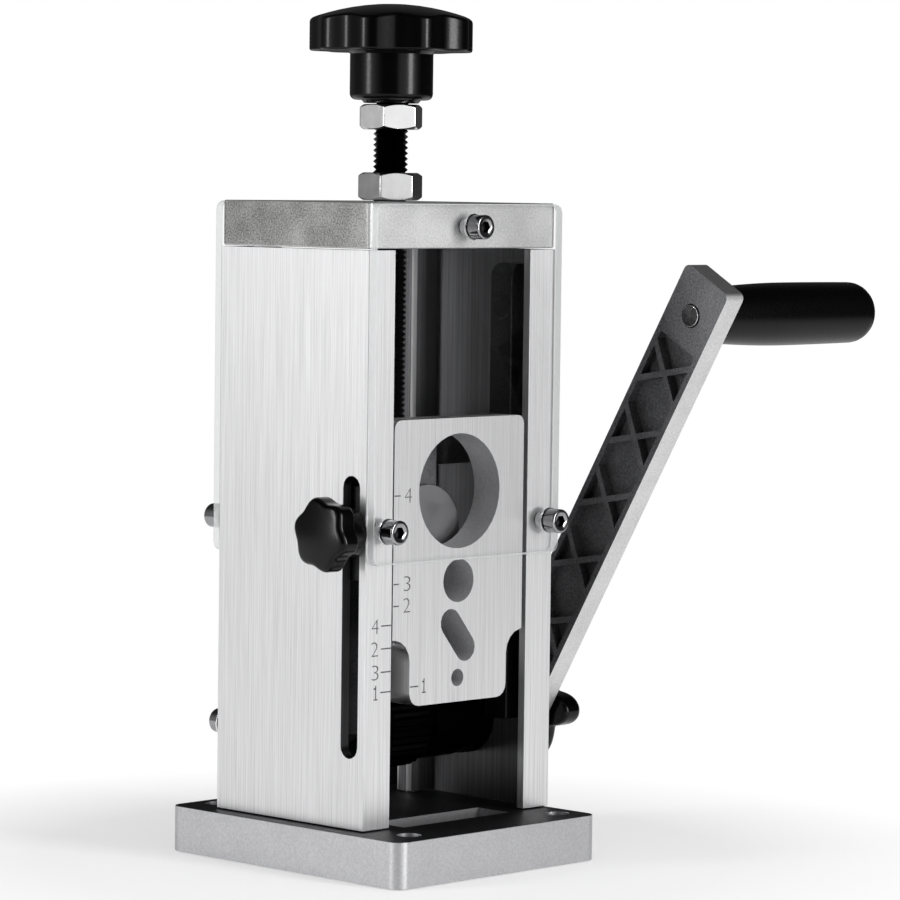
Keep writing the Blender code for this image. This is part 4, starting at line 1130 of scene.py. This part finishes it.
def build_world():
    """White to the eye and through glass; in metal, the studio's walls under a dark ceiling."""
    world = bpy.data.worlds.new("studio")
    bpy.context.scene.world = world
    world.use_nodes = True
    world.node_tree.nodes.clear()
    coordinates = add_node(world, "ShaderNodeTexCoord")
    walls = mirrored_walls(world, coordinates, "Generated")
    parts = add_node(world, "ShaderNodeSeparateXYZ", links={"Vector": (coordinates, "Generated")})
    ceiling = add_node(
        world, "ShaderNodeMapRange", settings={"interpolation_type": "SMOOTHSTEP"},
        inputs={
            "From Min": CEILING_ZONE[0], "From Max": CEILING_ZONE[1],
            "To Min": 1.0, "To Max": CEILING_LIGHT,
        },
        links={"Value": (parts, "Z")},
    )
    mirrored = add_node(
        world, "ShaderNodeMath", settings={"operation": "MULTIPLY"},
        links={0: (walls, "Color"), 1: (ceiling, "Result")},
    )
    path = add_node(world, "ShaderNodeLightPath")
    clear_view = add_node(
        world, "ShaderNodeMath", settings={"operation": "MAXIMUM"},
        links={0: (path, "Is Camera Ray"), 1: (path, "Is Transmission Ray")},
    )
    lit = add_node(world, "ShaderNodeBackground", inputs={"Strength": ROOM_LIGHT})
    in_metal = add_node(world, "ShaderNodeBackground", links={"Strength": (mirrored, "Value")})
    white = add_node(world, "ShaderNodeBackground", inputs={"Strength": 1.0})
    for background in (lit, in_metal, white):
        background.inputs["Color"].default_value = (1, 1, 1, 1)
    unseen = add_node(
        world, "ShaderNodeMixShader",
        links={
            "Fac": (path, "Is Glossy Ray"), 1: (lit, "Background"), 2: (in_metal, "Background"),
        },
    )
    final = add_node(
        world, "ShaderNodeMixShader",
        links={"Fac": (clear_view, "Value"), 1: (unseen, "Shader"), 2: (white, "Background")},
    )
    add_node(world, "ShaderNodeOutputWorld", links={"Surface": (final, "Shader")})


def build_lamps():
    for name, place, size, power in LAMPS:
        data = bpy.data.lights.new(name, "AREA")
        data.shape = "RECTANGLE"
        data.size = size[0]
        data.size_y = size[1]
        data.energy = power
        lamp = bpy.data.objects.new(name, data)
        bpy.context.scene.collection.objects.link(lamp)
        lamp.location = place
        aim = Vector(LAMP_TARGET) - Vector(place)
        lamp.rotation_euler = aim.to_track_quat("-Z", "Y").to_euler()


def build_camera():
    data = bpy.data.cameras.new("camera")
    data.lens = CAMERA_LENS
    data.sensor_width = CAMERA_SENSOR
    data.clip_start, data.clip_end = CAMERA_CLIP
    camera = bpy.data.objects.new("camera", data)
    bpy.context.scene.collection.objects.link(camera)
    yaw = math.radians(CAMERA_YAW)
    pitch = math.radians(CAMERA_PITCH)
    roll = math.radians(CAMERA_ROLL)
    forward = Vector((
        math.sin(yaw) * math.cos(pitch), math.cos(yaw) * math.cos(pitch), math.sin(pitch),
    ))
    side = Vector((math.cos(yaw), -math.sin(yaw), 0))
    up = side.cross(forward)
    right = side * math.cos(roll) + up * math.sin(roll)
    top = up * math.cos(roll) - side * math.sin(roll)
    matrix = Matrix((right, top, -forward)).transposed().to_4x4()
    matrix.translation = Vector(CAMERA_PLACE)
    camera.matrix_world = matrix
    bpy.context.scene.camera = camera


def build_housing(finish):
    """The column with its base and cap, the guards, and all that stays still inside."""
    for name in ("left_channel", "right_channel"):
        channel = finished_copy(
            name, MACHINED_EDGE, "brushed_aluminium", finish["column"], finish["inside"],
        )
        # The inner faces take the painted shade of the column's inside
        paint_faces(channel, 1, inside_column)
    cap = finished_copy(
        "top_cap", MACHINED_EDGE, "blasted_aluminium", finish["blasted"], finish["cap_side"],
    )
    # The cap's sides take the painted shade
    paint_faces(cap, 1, on_cap_side)
    base = finished_copy("base_plate", BASE_EDGE, "base_metal", finish["base"], finish["base_top"])
    # The flat top takes the painted dark reflection of the ceiling
    paint_faces(base, 1, on_base_top)
    for name in ("front_guard", "rear_guard"):
        guard = finished_copy(
            name, SHEET_EDGE, "clear_plastic", finish["clear"], finish["clear_edge"],
        )
        paint_faces(guard, 1, on_sheet_edge)
    # Guide bars and blocks deep in the column take the near black painted shade
    finish_all(
        MACHINED_EDGE, "brushed_aluminium", finish["works"], "right_guide_bar", "left_guide_bar",
        "clamp_block", "guide_block",
    )
    washers = [name for name in nodes if "washer" in name]
    finish_all(WASHER_EDGE, "plated_steel", finish["plated"], *washers)
    metals = (finish["chrome"], finish["socket"])
    for where, outward in (("front", -1), ("rear", 1)):
        for side in ("top", "left", "right"):
            build_socket_screw(where + "_screw_" + side, outward, *metals)
    for side in ("left", "right"):
        build_socket_screw("guide_screw_" + side, 1, *metals)


def build_gauge(finish):
    """The plate with the wire holes and its clamp knob."""
    plate = finished_copy(
        "gauge_plate", PLATE_EDGE, "brushed_aluminium",
        finish["plate"], finish["bore"], finish["rim"],
    )
    paint_faces(plate, 1, in_wire_hole)
    # The sloping edges take the painted highlight
    paint_faces(plate, 2, on_broken_edge)
    build_small_knob(
        "lock_knob", (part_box("lock_knob")[1][0], LOCK_KNOB_DEPTH, LOCK_KNOB_HEIGHT),
        (math.pi / 2, 0, -math.pi / 2), finish["knob"], **LOCK_KNOB,
    )


def build_works(finish):
    """The crank with its shaft and roller, and the blade on its carriage and screw."""
    arm = finished_copy("crank_arm", CAST_EDGE, "cast_metal", finish["cast"], finish["recess"])
    paint_faces(arm, 1, in_arm_recess)
    build_grip(finish["grip"])
    build_small_knob(
        "crank_knob", (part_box("crank_knob")[0][0], 0, SHAFT_HEIGHT),
        (math.pi / 2, 0, math.pi / 2), finish["knob"], **CRANK_KNOB,
    )
    # Guide and carriage take the lighter painted shade
    finish_all(
        MACHINED_EDGE, "brushed_aluminium", finish["carriage"], "rear_guide", "blade_carriage",
    )
    finish_all(SHIELD_EDGE, "dark_steel", finish["shield"], "blade_shield")
    finish_all(
        TURNED_EDGE, "plated_steel", finish["plated"], "lock_stud", "drive_shaft", "crank_spacer",
        "grip_spindle", "blade_axle", "base_screw_left", "base_screw_right",
    )
    finish_all(
        TURNED_EDGE, "black_steel", finish["oxide"], "feed_roller", "shaft_collar",
        "left_bearing", "right_bearing",
    )
    disc = finished_copy(
        "round_blade", BLADE_EDGE, "blade_steel", finish["blade"], finish["bevel"],
    )
    paint_faces(disc, 1, on_ground_bevel)
    build_nut("lock_nut", LOCK_NUT_TURN, finish["plated"])
    build_nut("upper_nut", UPPER_NUT_TURN, finish["plated"])
    build_threaded_rod(finish["oxide"])
    build_top_knob(finish["knob"])


build_stage()
build_world()
build_lamps()
build_camera()
finishes = mix_finishes()
build_housing(finishes)
build_gauge(finishes)
build_works(finishes)
engrave_scales(finishes["ink"])

bpy.context.scene.view_settings.view_transform = "Standard"
